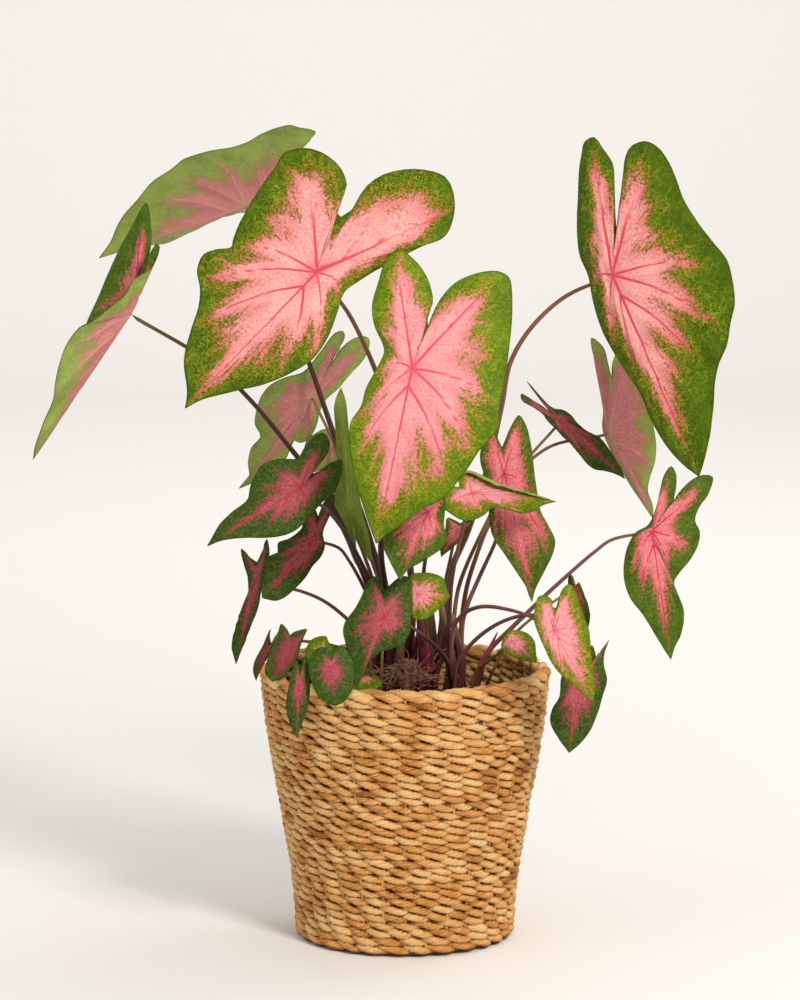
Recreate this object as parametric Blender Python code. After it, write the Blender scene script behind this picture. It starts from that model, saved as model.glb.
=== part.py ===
# Potted caladium: heart-shaped variegated leaves on thin stalks, in a nursery pot inside a woven basket.
# The foot of the basket stands on z = 0 round the origin. Units are metres, +Z is up, the front faces -Y.
import math

import bmesh
import bpy
import numpy as np
from mathutils import Vector
from mathutils.bvhtree import BVHTree

# Basket: outer radius at each height of its wall, measured from the silhouette.
BASKET_WALL = [
    (0.083, 0.0),
    (0.0845, 0.025),
    (0.088, 0.055),
    (0.094, 0.0915),
    (0.1005, 0.128),
    (0.1065, 0.165),
]
BASKET_RIM_RADIUS = 0.110
BASKET_HEIGHT = 0.2045
BASKET_THICKNESS = 0.009
BASKET_FLOOR = 0.007
BASKET_RIM_ROUND = 0.003
BASKET_RIM_DROP = 0.008
BASKET_SIDES = 40

# Nursery pot: a thin plastic cone that stands on the basket's floor.
POT_FOOT_RADIUS = 0.060
POT_RIM_RADIUS = 0.088
POT_RIM_HEIGHT = 0.166
POT_WALL = 0.0016
POT_LIP = 0.0035
POT_LIP_HEIGHT = 0.006
POT_CHAMFER = 0.001
POT_SIDES = 32
DRAIN_RADIUS = 0.012

# Soil: level with the pot's lip at the wall, mounded up under the stalks.
SOIL_EDGE_HEIGHT = 0.157
SOIL_MOUND_HEIGHT = 0.190
SOIL_MOUND_RADIUS = 0.070
SOIL_PLAY = 0.002
SOIL_RINGS = 7

# Corm: the plant's woody foot, which stands out of the soil in front of the stalks.
CORM_CENTRE = (0.000, -0.030)
CORM_RADIUS = 0.0140
CORM_HEIGHT = 0.027
CORM_SIDES = 18
CORM_RINGS = 8
CORM_LUMP = 0.10
CORM_RIDGE = 0.05

# Pieces that touch are modelled this far apart.
GAP = 0.0003

# Leaves.
BLADE_THICKNESS = 0.0008
BLADE_STEPS = 22
BLADE_RINGS = 2
LOBE_ANGLE = 150.0
STALK_SIDES = 6
STALK_STEPS = 12
STALK_END_RADIUS = 0.0014
THIN_STALK_RADIUS = 0.0022
THIN_STALK_END_RADIUS = 0.0011
STALK_UPRIGHT = 0.008
STALK_KNUCKLE = 0.005

# Stalks are bowed round one another and round the blades until they are this far apart.
STALK_CLEARANCE = 0.0009
BOW_ROUNDS = 140
BOW_SHARE = 0.35
BLADE_BOW_SHARE = 0.5
BOW_TRIALS = 8
BOW_NEAR = 0.008
BLADE_NEAR = 0.012
BOW_DONE = 0.0001
ROUTE_SAMPLES = 160

# The viewpoint the outlines below were read from: 3 m in front of the plant, looking slightly down on it.
EYE = np.array([-0.0037, -3.0, 0.745])
EYE_PITCH = math.radians(7.92)
EYE_FOCAL = 4088.0
EYE_CENTRE = (400.0, 500.0)
FORWARD = np.array([0.0, math.cos(EYE_PITCH), -math.sin(EYE_PITCH)])
UPWARD = np.array([0.0, math.sin(EYE_PITCH), math.cos(EYE_PITCH)])
RIGHTWARD = np.array([1.0, 0.0, 0.0])

# Leaf outlines, point by point: a picture position, with a depth where a margin leaves its leaf's plane.
# "right" and "left" are as seen from above the leaf with its tip towards you.
LEAVES = [
    dict(
        number="01", joint=(317, 272, -0.1), faces=(-0.05, -0.88, 0.45), tip=(185, 409),
        right_side=[(200, 401), (219, 395), (240, 390), (264, 385), (290, 374), (312, 360),
            (328, 338), (338, 312), (345, 292), (362, 279), (385, 266), (420, 248), (446, 236)],
        right_lobe=(455, 204), notch=(341, 217), left_lobe=(310, 149),
        right_cleft=[(446, 177), (417, 169), (385, 174), (363, 190), (356, 206)],
        left_cleft=[(335, 210), (341, 199), (347, 185), (337, 164)],
        left_side=[(285, 153), (275, 168), (255, 197), (240, 222), (233, 240), (231, 248), (215, 250),
            (203, 255), (197, 270), (200, 290), (198, 308), (191, 330), (184, 360), (187, 392)],
        droop=0.03, cup=0.008, stalk_root=(-0.012, 0.012), stalk_radius=0.003,
        stalk=[(411, 640, 0.008), (408, 540, 0.0), (396, 440, 0.0), (375, 369, -0.02),
            (345, 308, -0.05)],
    ),
    dict(
        number="02", joint=(412, 368, -0.145), faces=(0.0, -0.97, 0.25), tip=(376, 544),
        right_side=[(398, 527), (425, 508), (443, 498), (466, 471), (480, 450), (497, 430),
            (500, 405), (505, 380), (509, 350), (512, 320), (512, 290), (509, 277)],
        right_lobe=(497, 271), notch=(428, 327), left_lobe=(398, 249),
        right_cleft=[(475, 274), (455, 283), (441, 298), (432, 315)],
        left_cleft=[(428, 317), (433, 302), (431, 288), (426, 275), (415, 260)],
        left_side=[(385, 262), (378, 283), (372, 305), (374, 325), (384, 350), (378, 366), (366, 388),
            (361, 406), (351, 421), (349, 435), (352, 465), (360, 497), (369, 525)],
        droop=0.03, cup=0.008, stalk_root=(-0.006, -0.006), stalk_radius=0.003,
        stalk=[(400, 640, -0.014), (386, 590, -0.035), (381, 545, -0.06), (388, 480, -0.085),
            (403, 410, -0.115)],
    ),
    dict(
        number="03", joint=(612, 275, -0.02), faces=(-0.45, -0.9, 0.1), tip=(699, 477),
        right_side=[(706, 455), (711, 430), (714, 400), (715, 380), (719, 365), (728, 345),
            (731, 325), (735, 303), (733, 282), (727, 260), (714, 243), (700, 225), (686, 202),
            (677, 180), (668, 160), (658, 147)],
        right_lobe=(645, 141), notch=(617, 227), left_lobe=(595, 137),
        right_cleft=[(631, 146), (625, 158), (623, 175), (621, 192), (619, 210)],
        left_cleft=[(616, 214), (616, 196), (615, 178), (613, 163), (603, 148)],
        left_side=[(585, 142), (582, 155), (579, 175), (577, 205), (577, 235), (580, 255), (588, 275),
            (593, 300), (600, 325), (612, 350), (628, 375), (641, 395), (651, 420), (665, 444),
            (685, 466)],
        droop=0.03, cup=0.01, stalk_root=(0.018, 0.036), stalk_radius=0.003,
        stalk=[(444, 640, 0.034), (450, 575, 0.034), (472, 520, 0.034), (497, 430, 0.032),
            (513, 355, 0.03), (540, 318, 0.03), (575, 290, 0.024), (598, 280, 0.012)],
    ),
    dict(
        number="04", joint=(246, 205, 0.11), faces=(0.1, 0.75, 0.65), tip=(99, 258),
        right_side=[(110, 243), (116, 228), (124, 214), (137, 200), (151, 184), (170, 171),
            (184, 159), (206, 152), (234, 147), (246, 143), (263, 133), (288, 126), (300, 129)],
        right_lobe=(316, 133), notch=(268, 184), left_lobe=(264, 208, 0.03),
        right_cleft=[(308, 141), (298, 151), (283, 167)],
        left_cleft=[(268, 192, 0.01)],
        left_side=[(252, 212, 0.04), (234, 214, 0.05), (210, 219, 0.06), (189, 226, 0.06),
            (172, 240, 0.05), (160, 244, 0.04), (135, 246, 0.02)],
        droop=0.02, cup=0.0, stalk_root=(-0.02, 0.02), stalk_radius=0.0028,
        stalk=[(392, 640, 0.026), (376, 560, 0.04), (341, 455, 0.062), (308, 360, 0.082),
            (275, 270, 0.096), (256, 226, 0.1)],
    ),
    dict(
        number="05", joint=(131, 314, 0.02), faces=(-0.2, 0.97, 0.1), tip=(33, 459),
        right_side=[(35, 446, -0.01), (43, 424, -0.015), (53, 400, -0.02), (55, 385, -0.02),
            (59, 365, -0.02), (66, 346, -0.02), (79, 328, -0.02), (92, 321, -0.02), (112, 305, -0.02),
            (125, 294, -0.015), (132, 281, -0.01), (140, 275, -0.01), (151, 268, -0.01)],
        right_lobe=(160, 247, -0.01), notch=(137, 284), left_lobe=(147, 203, 0.024),
        right_cleft=[(156, 244, -0.01), (145, 262, -0.005)],
        left_cleft=[(151, 245, 0.018), (151, 222, 0.024)],
        left_side=[(140, 211, 0.026), (131, 228, 0.028), (121, 246, 0.028), (109, 272, 0.026),
            (98, 298, 0.022), (84, 330, 0.016), (69, 380, 0.008), (51, 427)],
        droop=0.0, cup=0.0, stalk_root=(-0.024, 0.002), stalk_radius=0.0028,
        back=(0.75, -0.35, -0.55),
        stalk=[(386, 640, -0.004), (364, 575, -0.02), (330, 503, -0.03), (298, 458, -0.022),
            (241, 390, 0.0), (185, 344, 0.012), (150, 321, 0.014)],
    ),
    dict(
        number="06", joint=(301, 487, -0.09), faces=(0.05, -0.85, 0.5), tip=(207, 546),
        right_side=[(222, 541), (242, 538), (262, 538), (285, 535), (298, 529), (310, 516),
            (322, 503), (334, 493), (340, 480)],
        right_lobe=(342, 461), notch=(312, 474), left_lobe=(323, 433),
        right_cleft=[(330, 463), (320, 470)],
        left_cleft=[(320, 464), (328, 453), (330, 442)],
        left_side=[(313, 437), (304, 448), (298, 458), (288, 459), (275, 460), (262, 465), (255, 475),
            (250, 487), (247, 500), (232, 512), (220, 524), (212, 537)],
        droop=0.02, cup=0.006, stalk_root=(-0.028, -0.012), stalk_radius=0.0022,
        stalk=[(383, 625, -0.02), (354, 548, -0.045), (326, 509, -0.07)],
    ),
    dict(
        number="07", joint=(312, 397, 0.1), faces=(-0.2, 0.9, 0.3), tip=(239, 489),
        right_side=[(249, 478), (248, 463), (252, 447), (260, 438), (260, 434), (255, 425),
            (257, 408), (262, 395), (270, 385), (285, 378), (303, 372), (320, 352), (334, 334)],
        right_lobe=(343, 331), notch=(331, 364), left_lobe=(369, 338),
        right_cleft=[(345, 337), (340, 347)],
        left_cleft=[(337, 354), (347, 343), (358, 337)],
        left_side=[(369, 348), (362, 362), (350, 376), (337, 390), (326, 400), (320, 412), (316, 428),
            (308, 440), (300, 443), (294, 441), (290, 450), (284, 462), (265, 476)],
        droop=0.01, cup=0.004, stalk_root=(-0.014, 0.032), stalk_radius=0.0022,
        stalk=[(394, 630, 0.04), (372, 560, 0.056), (345, 478, 0.076), (326, 422, 0.09)],
    ),
    dict(
        number="08", joint=(333, 445, 0.11), faces=(-0.1, 0.9, 0.3), tip=(298, 474),
        right_side=[(303, 455), (307, 440)],
        right_lobe=(324, 429), notch=(337, 438), left_lobe=(344, 456),
        right_cleft=[(331, 430)],
        left_cleft=[(342, 444)],
        left_side=[(335, 465), (320, 470), (308, 474)],
        droop=0.005, cup=0.002, stalk_root=(-0.004, 0.04), stalk_radius=0.0018,
        stalk=[(399, 640, 0.046), (378, 560, 0.07), (352, 495, 0.094), (341, 468, 0.102)],
    ),
    dict(
        number="09", joint=(349, 505, 0.0), faces=(-0.3, -0.9, 0.1), tip=(341, 387),
        right_side=[(335, 402), (336, 420), (336, 440), (338, 462), (340, 476), (334, 492),
            (337, 512), (346, 540)],
        right_lobe=(357, 566), notch=(355, 530), left_lobe=(371, 562),
        right_cleft=[(356, 550)],
        left_cleft=[(362, 545)],
        left_side=[(370, 545), (364, 520), (358, 492), (353, 465), (349, 440), (346, 405)],
        droop=0.0, cup=-0.006, stalk_root=(-0.032, 0.014), stalk_radius=0.0022,
        stalk=[(388, 645, 0.012), (377, 595, 0.012), (366, 560, 0.011), (354, 528, 0.007)],
    ),
    dict(
        number="10", joint=(316, 537, -0.03), faces=(0.1, -0.85, 0.5), tip=(262, 598),
        right_side=[(275, 601), (284, 598), (296, 588), (306, 577), (313, 566), (321, 557),
            (325, 546), (323, 533), (328, 520), (334, 507)],
        right_lobe=(334, 494), notch=(318, 516), left_lobe=(305, 500),
        right_cleft=[(325, 500)],
        left_cleft=[(313, 505)],
        left_side=[(299, 515), (302, 527), (290, 538), (278, 543), (277, 554), (267, 557), (264, 570),
            (261, 587)],
        droop=0.012, cup=0.004, stalk_root=(-0.036, 0.002), stalk_radius=0.002,
        stalk=[(380, 630, 0.0), (366, 592, -0.008), (345, 555, -0.016), (328, 540, -0.02)],
    ),
    dict(
        number="11", joint=(257, 572, 0.01), faces=(-0.5, -0.8, 0.2), tip=(236, 664),
        right_side=[(240, 655), (250, 628), (258, 607), (261, 590), (264, 575), (269, 556)],
        right_lobe=(267, 539), notch=(257, 562), left_lobe=(241, 549),
        right_cleft=[(263, 550)],
        left_cleft=[(252, 559)],
        left_side=[(244, 565), (248, 580), (248, 596), (242, 610), (236, 627), (232, 645)],
        droop=0.01, cup=0.0, stalk_root=(-0.04, -0.01), stalk_radius=0.0018,
        stalk=[(374, 655, -0.008), (348, 620, -0.004), (322, 600, 0.0), (294, 589, 0.008),
            (270, 583, 0.016)],
    ),
    dict(
        number="12", joint=(385, 618, -0.1), faces=(0.0, -0.9, 0.4), tip=(356, 690),
        right_side=[(360, 682), (366, 668), (372, 658), (380, 652), (392, 649), (403, 643),
            (410, 633), (411, 620), (412, 600)],
        right_lobe=(408, 577), notch=(383, 592), left_lobe=(374, 576),
        right_cleft=[(400, 577), (392, 583)],
        left_cleft=[(381, 584)],
        left_side=[(366, 584), (362, 595), (355, 608), (345, 622), (343, 632), (346, 645), (351, 660),
            (354, 678)],
        droop=0.012, cup=0.006, stalk_root=(0.03, -0.022), stalk_radius=0.002,
        stalk=[(452, 684, -0.03), (445, 658, -0.05), (420, 633, -0.075), (399, 621, -0.088)],
    ),
    dict(
        number="13", joint=(428, 512, -0.092), faces=(0.2, -0.85, 0.5), tip=(400, 581),
        right_side=[(407, 571), (420, 563), (433, 555), (443, 547), (447, 537), (444, 526), (445, 512)],
        right_lobe=(445, 498), notch=(429, 496), left_lobe=(408, 488),
        right_cleft=[(438, 492)],
        left_cleft=[(420, 487)],
        left_side=[(396, 502), (388, 522), (383, 545), (390, 562)],
        droop=0.012, cup=0.004, stalk_root=(0.006, 0.004), stalk_radius=0.0022,
        stalk=[(418, 640, -0.006), (424, 570, -0.035), (429, 530, -0.064)],
    ),
    dict(
        number="14", joint=(417, 594, -0.068), faces=(0.1, -0.7, 0.7), tip=(450, 596),
        right_side=[(447, 588), (443, 578), (430, 573)],
        right_lobe=(412, 574), notch=(408, 590), left_lobe=(413, 618),
        right_cleft=[(409, 580)],
        left_cleft=[(408, 600)],
        left_side=[(426, 619), (437, 611), (446, 603)],
        droop=0.01, cup=0.006, stalk_root=(0.014, -0.008), stalk_radius=0.002,
        stalk=[(425, 660, -0.01), (426, 620, -0.04)],
    ),
    dict(
        number="15", joint=(504, 473, -0.025), faces=(0.15, -0.95, 0.2), tip=(532, 603),
        right_side=[(536, 588), (545, 570), (553, 553), (555, 540), (548, 525), (541, 512),
            (538, 497), (535, 478), (533, 460), (531, 445), (527, 427)],
        right_lobe=(519, 415), notch=(502, 447), left_lobe=(491, 428),
        right_cleft=[(512, 424), (507, 435)],
        left_cleft=[(499, 441)],
        left_side=[(483, 440), (480, 460), (486, 482), (489, 500), (489, 520), (493, 537), (505, 555),
            (517, 573), (526, 587)],
        droop=0.012, cup=0.005, stalk_root=(0.044, 0.006), stalk_radius=0.0022,
        stalk=[(462, 660, 0.006), (463, 620, 0.006), (478, 580, 0.006), (496, 540, 0.004),
            (506, 500, -0.004)],
    ),
    dict(
        number="16", joint=(472, 493, -0.056), faces=(0.1, -0.75, 0.65), tip=(556, 501),
        right_side=[(540, 497), (520, 491), (500, 485), (482, 476)],
        right_lobe=(466, 471), notch=(459, 487), left_lobe=(438, 503),
        right_cleft=[(460, 478)],
        left_cleft=[(450, 487)],
        left_side=[(448, 512), (460, 519), (473, 520), (484, 515), (492, 508), (502, 508), (513, 511),
            (523, 513), (533, 511), (543, 505)],
        droop=0.0, cup=0.0, stalk_root=(0.022, -0.002), stalk_radius=0.002,
        stalk=[(447, 640, -0.012), (452, 580, -0.03), (464, 522, -0.045)],
    ),
    dict(
        number="17", joint=(560, 421, 0.075), faces=(0.3, -0.75, 0.6), tip=(625, 479),
        right_side=[(618, 463), (610, 450), (600, 438), (587, 431), (578, 424), (571, 415),
            (562, 410), (553, 408), (544, 400)],
        right_lobe=(527, 381), notch=(549, 411), left_lobe=(521, 394),
        right_cleft=[(536, 395)],
        left_cleft=[(539, 404)],
        left_side=[(522, 401), (531, 406), (541, 413), (549, 423), (560, 434), (571, 445), (580, 456),
            (594, 469), (606, 471), (616, 474)],
        droop=0.008, cup=0.003, stalk_root=(0.03, 0.016), stalk_radius=0.0019,
        stalk=[(452, 650, 0.018), (458, 590, 0.034), (488, 520, 0.06), (515, 475, 0.08),
            (533, 452, 0.088), (548, 430, 0.089)],
    ),
    dict(
        number="18", joint=(609, 433, 0.1), faces=(0.3, 0.9, 0.1), tip=(653, 518),
        right_side=[(643, 503, 0.005), (631, 485, 0.01), (619, 465, 0.012), (610, 448, 0.012),
            (603, 430, 0.01), (603, 408, 0.01), (600, 385, 0.01), (596, 362, 0.008)],
        right_lobe=(591, 338, 0.008), notch=(612, 378), left_lobe=(630, 330),
        right_cleft=[(603, 347, 0.006), (608, 363)],
        left_cleft=[(613, 360)],
        left_side=[(647, 350), (655, 385), (653, 420), (656, 445), (655, 462), (650, 478), (648, 490),
            (653, 507)],
        droop=0.005, cup=0.004, stalk_root=(0.036, 0.028), stalk_radius=0.0022,
        stalk=[(460, 650, 0.034), (466, 590, 0.048), (500, 500, 0.07), (533, 458, 0.08),
            (575, 437, 0.088)],
    ),
    dict(
        number="19", joint=(652, 531, -0.05), faces=(0.1, -0.97, 0.2), tip=(671, 660),
        right_side=[(675, 647), (681, 635), (684, 620), (683, 607), (678, 595), (674, 583),
            (680, 572), (690, 560), (698, 545), (700, 532), (695, 520), (700, 506), (708, 495)],
        right_lobe=(713, 477), notch=(673, 501), left_lobe=(671, 466),
        right_cleft=[(702, 475), (690, 481), (680, 491)],
        left_cleft=[(676, 488), (676, 474)],
        left_side=[(664, 475), (660, 490), (655, 510), (648, 525), (636, 532), (628, 545), (624, 560),
            (624, 580), (630, 598), (643, 615), (655, 635), (665, 651)],
        droop=0.018, cup=0.006, stalk_root=(0.052, -0.006), stalk_radius=0.0022,
        stalk=[(482, 662, -0.008), (520, 620, -0.014), (570, 573, -0.024), (600, 548, -0.03),
            (630, 531, -0.038)],
    ),
    dict(
        number="20", joint=(554, 630, -0.12), faces=(0.2, -0.95, 0.2), tip=(593, 703),
        right_side=[(595, 690), (593, 670), (591, 650), (589, 630), (585, 619), (580, 605), (576, 592)],
        right_lobe=(570, 584), notch=(556, 608), left_lobe=(545, 595),
        right_cleft=[(563, 588), (559, 597)],
        left_cleft=[(552, 606), (552, 600)],
        left_side=[(538, 597), (535, 607), (534, 620), (537, 631), (543, 645), (551, 662), (560, 674),
            (573, 684), (584, 694)],
        droop=0.012, cup=0.004, stalk_root=(0.036, -0.01), stalk_radius=0.002,
        stalk=[(451, 655, -0.015), (456, 622, -0.022), (479, 607, -0.042), (510, 610, -0.066),
            (535, 619, -0.096)],
    ),
    dict(
        number="21", joint=(582, 678, -0.07), faces=(0.2, -0.95, 0.2), tip=(569, 753),
        right_side=[(580, 744), (590, 731), (597, 715), (603, 695), (607, 680), (604, 664), (605, 652)],
        right_lobe=(609, 640), notch=(596, 657), left_lobe=(592, 645),
        right_cleft=[(601, 651)],
        left_cleft=[(595, 651)],
        left_side=[(589, 650), (583, 660), (568, 665), (561, 678), (559, 697), (552, 709), (550, 722),
            (558, 738)],
        droop=0.01, cup=0.004, stalk_root=(0.038, -0.034), stalk_radius=0.0018,
        stalk=[(455, 668, -0.036), (480, 636, -0.038), (512, 618, -0.04), (545, 617, -0.042),
            (570, 640, -0.046), (580, 662, -0.054)],
    ),
    dict(
        number="22", joint=(511, 641, -0.055), faces=(0.2, -0.8, 0.5), tip=(537, 663),
        right_side=[(536, 653), (535, 643), (530, 635), (522, 631)],
        right_lobe=(512, 630), notch=(505, 636), left_lobe=(501, 646),
        right_cleft=[(508, 632)],
        left_cleft=[(503, 639)],
        left_side=[(504, 652), (513, 657), (525, 661)],
        droop=0.005, cup=0.002, stalk_root=(0.048, -0.02), stalk_radius=0.0018,
        stalk=[(476, 672, -0.024), (497, 655, -0.036)],
    ),
    dict(
        number="23", joint=(293, 648, -0.09), faces=(0.1, -0.8, 0.5), tip=(272, 682),
        right_side=[(282, 679), (291, 668), (298, 656), (301, 645), (304, 637)],
        right_lobe=(307, 629), notch=(290, 635), left_lobe=(281, 624),
        right_cleft=[(300, 630), (294, 632)],
        left_cleft=[(287, 629)],
        left_side=[(277, 636), (271, 648), (267, 660), (265, 673)],
        droop=0.008, cup=0.003, stalk_root=(-0.044, -0.022), stalk_radius=0.0017,
        stalk=[(368, 668, -0.035), (345, 656, -0.06), (320, 652, -0.078), (303, 649, -0.084)],
    ),
    dict(
        number="24", joint=(267, 652, -0.065), faces=(-0.4, -0.85, 0.3), tip=(256, 681),
        right_side=[(261, 670), (267, 659), (272, 650)],
        right_lobe=(281, 627), notch=(271, 643), left_lobe=(270, 629),
        right_cleft=[(276, 637)],
        left_cleft=[(270, 636)],
        left_side=[(262, 647), (255, 660), (253, 671)],
        droop=0.004, cup=0.002, stalk_root=(-0.048, 0.004), stalk_radius=0.0016,
        stalk=[(362, 660, -0.01), (330, 645, -0.034), (295, 641, -0.05), (278, 645, -0.057)],
    ),
    dict(
        number="25", joint=(299, 684, -0.13), faces=(0.0, -1, 0.1), tip=(297, 738),
        right_side=[(302, 724), (308, 708), (310, 690), (309, 670)],
        right_lobe=(306, 655), notch=(301, 668), left_lobe=(296, 660),
        right_cleft=[(303, 660)],
        left_cleft=[(299, 664)],
        left_side=[(291, 675), (288, 690), (286, 706), (290, 724)],
        droop=0.003, cup=0.003, stalk_root=(-0.034, -0.03), stalk_radius=0.0016,
        stalk=[(372, 680, -0.05), (345, 662, -0.085), (318, 656, -0.11), (304, 668, -0.122)],
    ),
    dict(
        number="26", joint=(330, 667, -0.135), faces=(0.0, -0.95, 0.3), tip=(336, 706),
        right_side=[(345, 701), (352, 690), (355, 674), (350, 655)],
        right_lobe=(341, 645), notch=(332, 651), left_lobe=(320, 647),
        right_cleft=[(337, 647)],
        left_cleft=[(328, 648)],
        left_side=[(311, 655), (308, 665), (311, 680), (316, 693), (326, 703)],
        droop=0.004, cup=0.003, stalk_root=(-0.026, -0.038), stalk_radius=0.0018,
        stalk=[(378, 684, -0.06), (360, 665, -0.09), (342, 660, -0.118)],
    ),
    dict(
        number="27", joint=(458, 530, 0.015), faces=(0.2, -0.8, 0.5), tip=(441, 557),
        right_side=[(450, 550), (460, 541), (468, 531)],
        right_lobe=(474, 520), notch=(460, 523), left_lobe=(447, 518),
        right_cleft=[(466, 521)],
        left_cleft=[(455, 520)],
        left_side=[(445, 530), (440, 545)],
        droop=0.004, cup=0.002, stalk_root=(0.014, 0.022), stalk_radius=0.0018,
        stalk=[(438, 640, 0.024), (444, 590, 0.024), (451, 555, 0.022)],
    ),
]


def material(name, colour, roughness, metallic=0.0):
    made = bpy.data.materials.new(name)
    made.use_nodes = True
    shader = made.node_tree.nodes["Principled BSDF"]
    shader.inputs["Base Color"].default_value = (*colour, 1.0)
    shader.inputs["Roughness"].default_value = roughness
    shader.inputs["Metallic"].default_value = metallic
    made.diffuse_color = (*colour, 1.0)
    return made


def make_object(name, shape, surface):
    """Turns a bmesh into a named, smooth-shaded object with outward faces."""
    bmesh.ops.recalc_face_normals(shape, faces=shape.faces)
    mesh = bpy.data.meshes.new(name)
    shape.to_mesh(mesh)
    shape.free()
    for face in mesh.polygons:
        face.use_smooth = True
    mesh.materials.append(surface)
    made = bpy.data.objects.new(name, mesh)
    bpy.context.scene.collection.objects.link(made)
    return made


def turned(profile, sides):
    """A closed ring of revolution from a closed profile of (radius, height) that stays off the axis."""
    shape = bmesh.new()
    rings = []
    for step in range(sides):
        angle = 2 * math.pi * step / sides
        ring = []
        for radius, height in profile:
            ring.append(shape.verts.new((radius * math.cos(angle), radius * math.sin(angle), height)))
        rings.append(ring)
    for step in range(sides):
        here = rings[step]
        beyond = rings[(step + 1) % sides]
        for index in range(len(profile)):
            following = (index + 1) % len(profile)
            shape.faces.new((here[index], beyond[index], beyond[following], here[following]))
    return shape


def solid_turned(profile, sides, lump=None):
    """A solid of revolution whose profile starts and ends on the axis."""
    shape = bmesh.new()
    bottom = shape.verts.new((0.0, 0.0, profile[0][1]))
    top = shape.verts.new((0.0, 0.0, profile[-1][1]))
    rings = []
    for radius, height in profile[1:-1]:
        ring = []
        for step in range(sides):
            angle = 2 * math.pi * step / sides
            reach = radius * (lump(angle, height) if lump else 1.0)
            ring.append(shape.verts.new((reach * math.cos(angle), reach * math.sin(angle), height)))
        rings.append(ring)
    for step in range(sides):
        beyond = (step + 1) % sides
        shape.faces.new((bottom, rings[0][beyond], rings[0][step]))
        shape.faces.new((top, rings[-1][step], rings[-1][beyond]))
        for lower, upper in zip(rings, rings[1:]):
            shape.faces.new((lower[step], lower[beyond], upper[beyond], upper[step]))
    return shape


def sight_line(px, py):
    """Direction from the eye through a point of the picture."""
    across = (px - EYE_CENTRE[0]) / EYE_FOCAL
    down = (py - EYE_CENTRE[1]) / EYE_FOCAL
    return FORWARD + RIGHTWARD * across - UPWARD * down


def seen(px, py, depth):
    """The point on that sight line whose Y is depth."""
    direction = sight_line(px, py)
    return EYE + direction * ((depth - EYE[1]) / direction[1])


def along_curve(points, share, axes=2):
    """The point at this share of a smooth curve through the points, its length measured on that many axes."""
    spots = np.array(points, float)
    steps = np.linalg.norm(np.diff(spots[:, :axes], axis=0), axis=1)
    chord = np.concatenate([[0.0], np.cumsum(steps)])
    wanted = share * chord[-1]
    last = len(spots) - 1
    index = min(int(np.searchsorted(chord, wanted, side="right")) - 1, last - 1)
    span = chord[index + 1] - chord[index]
    u = (wanted - chord[index]) / span

    def slope(k):
        before = max(k - 1, 0)
        after = min(k + 1, last)
        return (spots[after] - spots[before]) / (chord[after] - chord[before])

    start = slope(index) * span
    end = slope(index + 1) * span
    return (
        (2 * u**3 - 3 * u**2 + 1) * spots[index]
        + (u**3 - 2 * u**2 + u) * start
        + (3 * u**2 - 2 * u**3) * spots[index + 1]
        + (u**3 - u**2) * end
    )


def length_of(points):
    return float(np.linalg.norm(np.diff(np.array(points)[:, :2], axis=0), axis=1).sum())


def with_depth(point):
    return tuple(point) if len(point) == 3 else (*point, 0.0)


class Blade:
    """A leaf blade as a surface over template angle (0 is the tip, 180 the notch) and reach (0 to 1)."""

    def __init__(self, row):
        self.joint = seen(*row["joint"])
        self.joint_spot = np.array(row["joint"][:2], float)
        self.tip_spot = np.array(row["tip"][:2], float)
        self.normal = np.array(row["faces"]) / np.linalg.norm(row["faces"])
        self.turned_to_eye = 1.0 if self.normal @ FORWARD < 0 else -1.0
        self.droop = row["droop"]
        self.cup = row["cup"]
        self.back_given = np.array(row["back"]) if "back" in row else None
        right = [with_depth(p) for p in [row["tip"], *row["right_side"], row["right_lobe"]]]
        right_cleft = [with_depth(p) for p in [row["right_lobe"], *row["right_cleft"], row["notch"]]]
        left_cleft = [with_depth(p) for p in [row["notch"], *row["left_cleft"], row["left_lobe"]]]
        left = [with_depth(p) for p in [row["left_lobe"], *row["left_side"], row["tip"]]]
        self.right = right + right_cleft[1:]
        self.left = left_cleft + left[1:]
        self.right_share = length_of(right) / length_of(self.right)
        self.left_share = length_of(left) / length_of(self.left)

    def margin(self, angle):
        """Picture position and extra depth of the margin at a template angle."""
        turn = abs(angle)
        share = self.right_share if angle >= 0 else self.left_share
        if turn <= LOBE_ANGLE:
            way = share * turn / LOBE_ANGLE
        else:
            way = share + (1 - share) * (turn - LOBE_ANGLE) / (180 - LOBE_ANGLE)
        return along_curve(self.right, way) if angle >= 0 else along_curve(self.left, 1 - way)

    def point(self, angle, reach):
        spot = self.margin(angle)
        direction = sight_line(spot[0], spot[1])
        flat = EYE + direction * (((self.joint - EYE) @ self.normal) / (direction @ self.normal))
        midrib = self.tip_spot - self.joint_spot
        forward = max(0.0, (spot[:2] - self.joint_spot) @ midrib / (midrib @ midrib))
        bend = self.droop * forward**2 + self.cup * min(1.0, 1.0 - forward)
        away = spot[2] * reach + self.turned_to_eye * bend * reach**2
        sight = direction / np.linalg.norm(direction)
        return self.joint + reach * (flat - self.joint) + sight * away

    def underside(self, radius):
        """Direction out of the back at the joint, and how far the blade bulges that way within a radius."""
        ring = [self.point(-180 + 360 * step / BLADE_STEPS, 1 / BLADE_RINGS) for step in range(BLADE_STEPS)]
        spokes = np.array(ring) - self.joint
        total = np.zeros(3)
        for spoke, beyond in zip(spokes, np.roll(spokes, -1, axis=0)):
            total += np.cross(spoke, beyond) / (np.linalg.norm(spoke) * np.linalg.norm(beyond))
        back = -total / np.linalg.norm(total)
        if back @ self.normal > 0:
            back = -back
        if self.back_given is not None:
            back = self.back_given / np.linalg.norm(self.back_given)
        rises = spokes @ back
        reaches = np.linalg.norm(spokes - rises[:, None] * back, axis=1)
        return back, max(0.0, float((rises / reaches).max())) * radius


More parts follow.
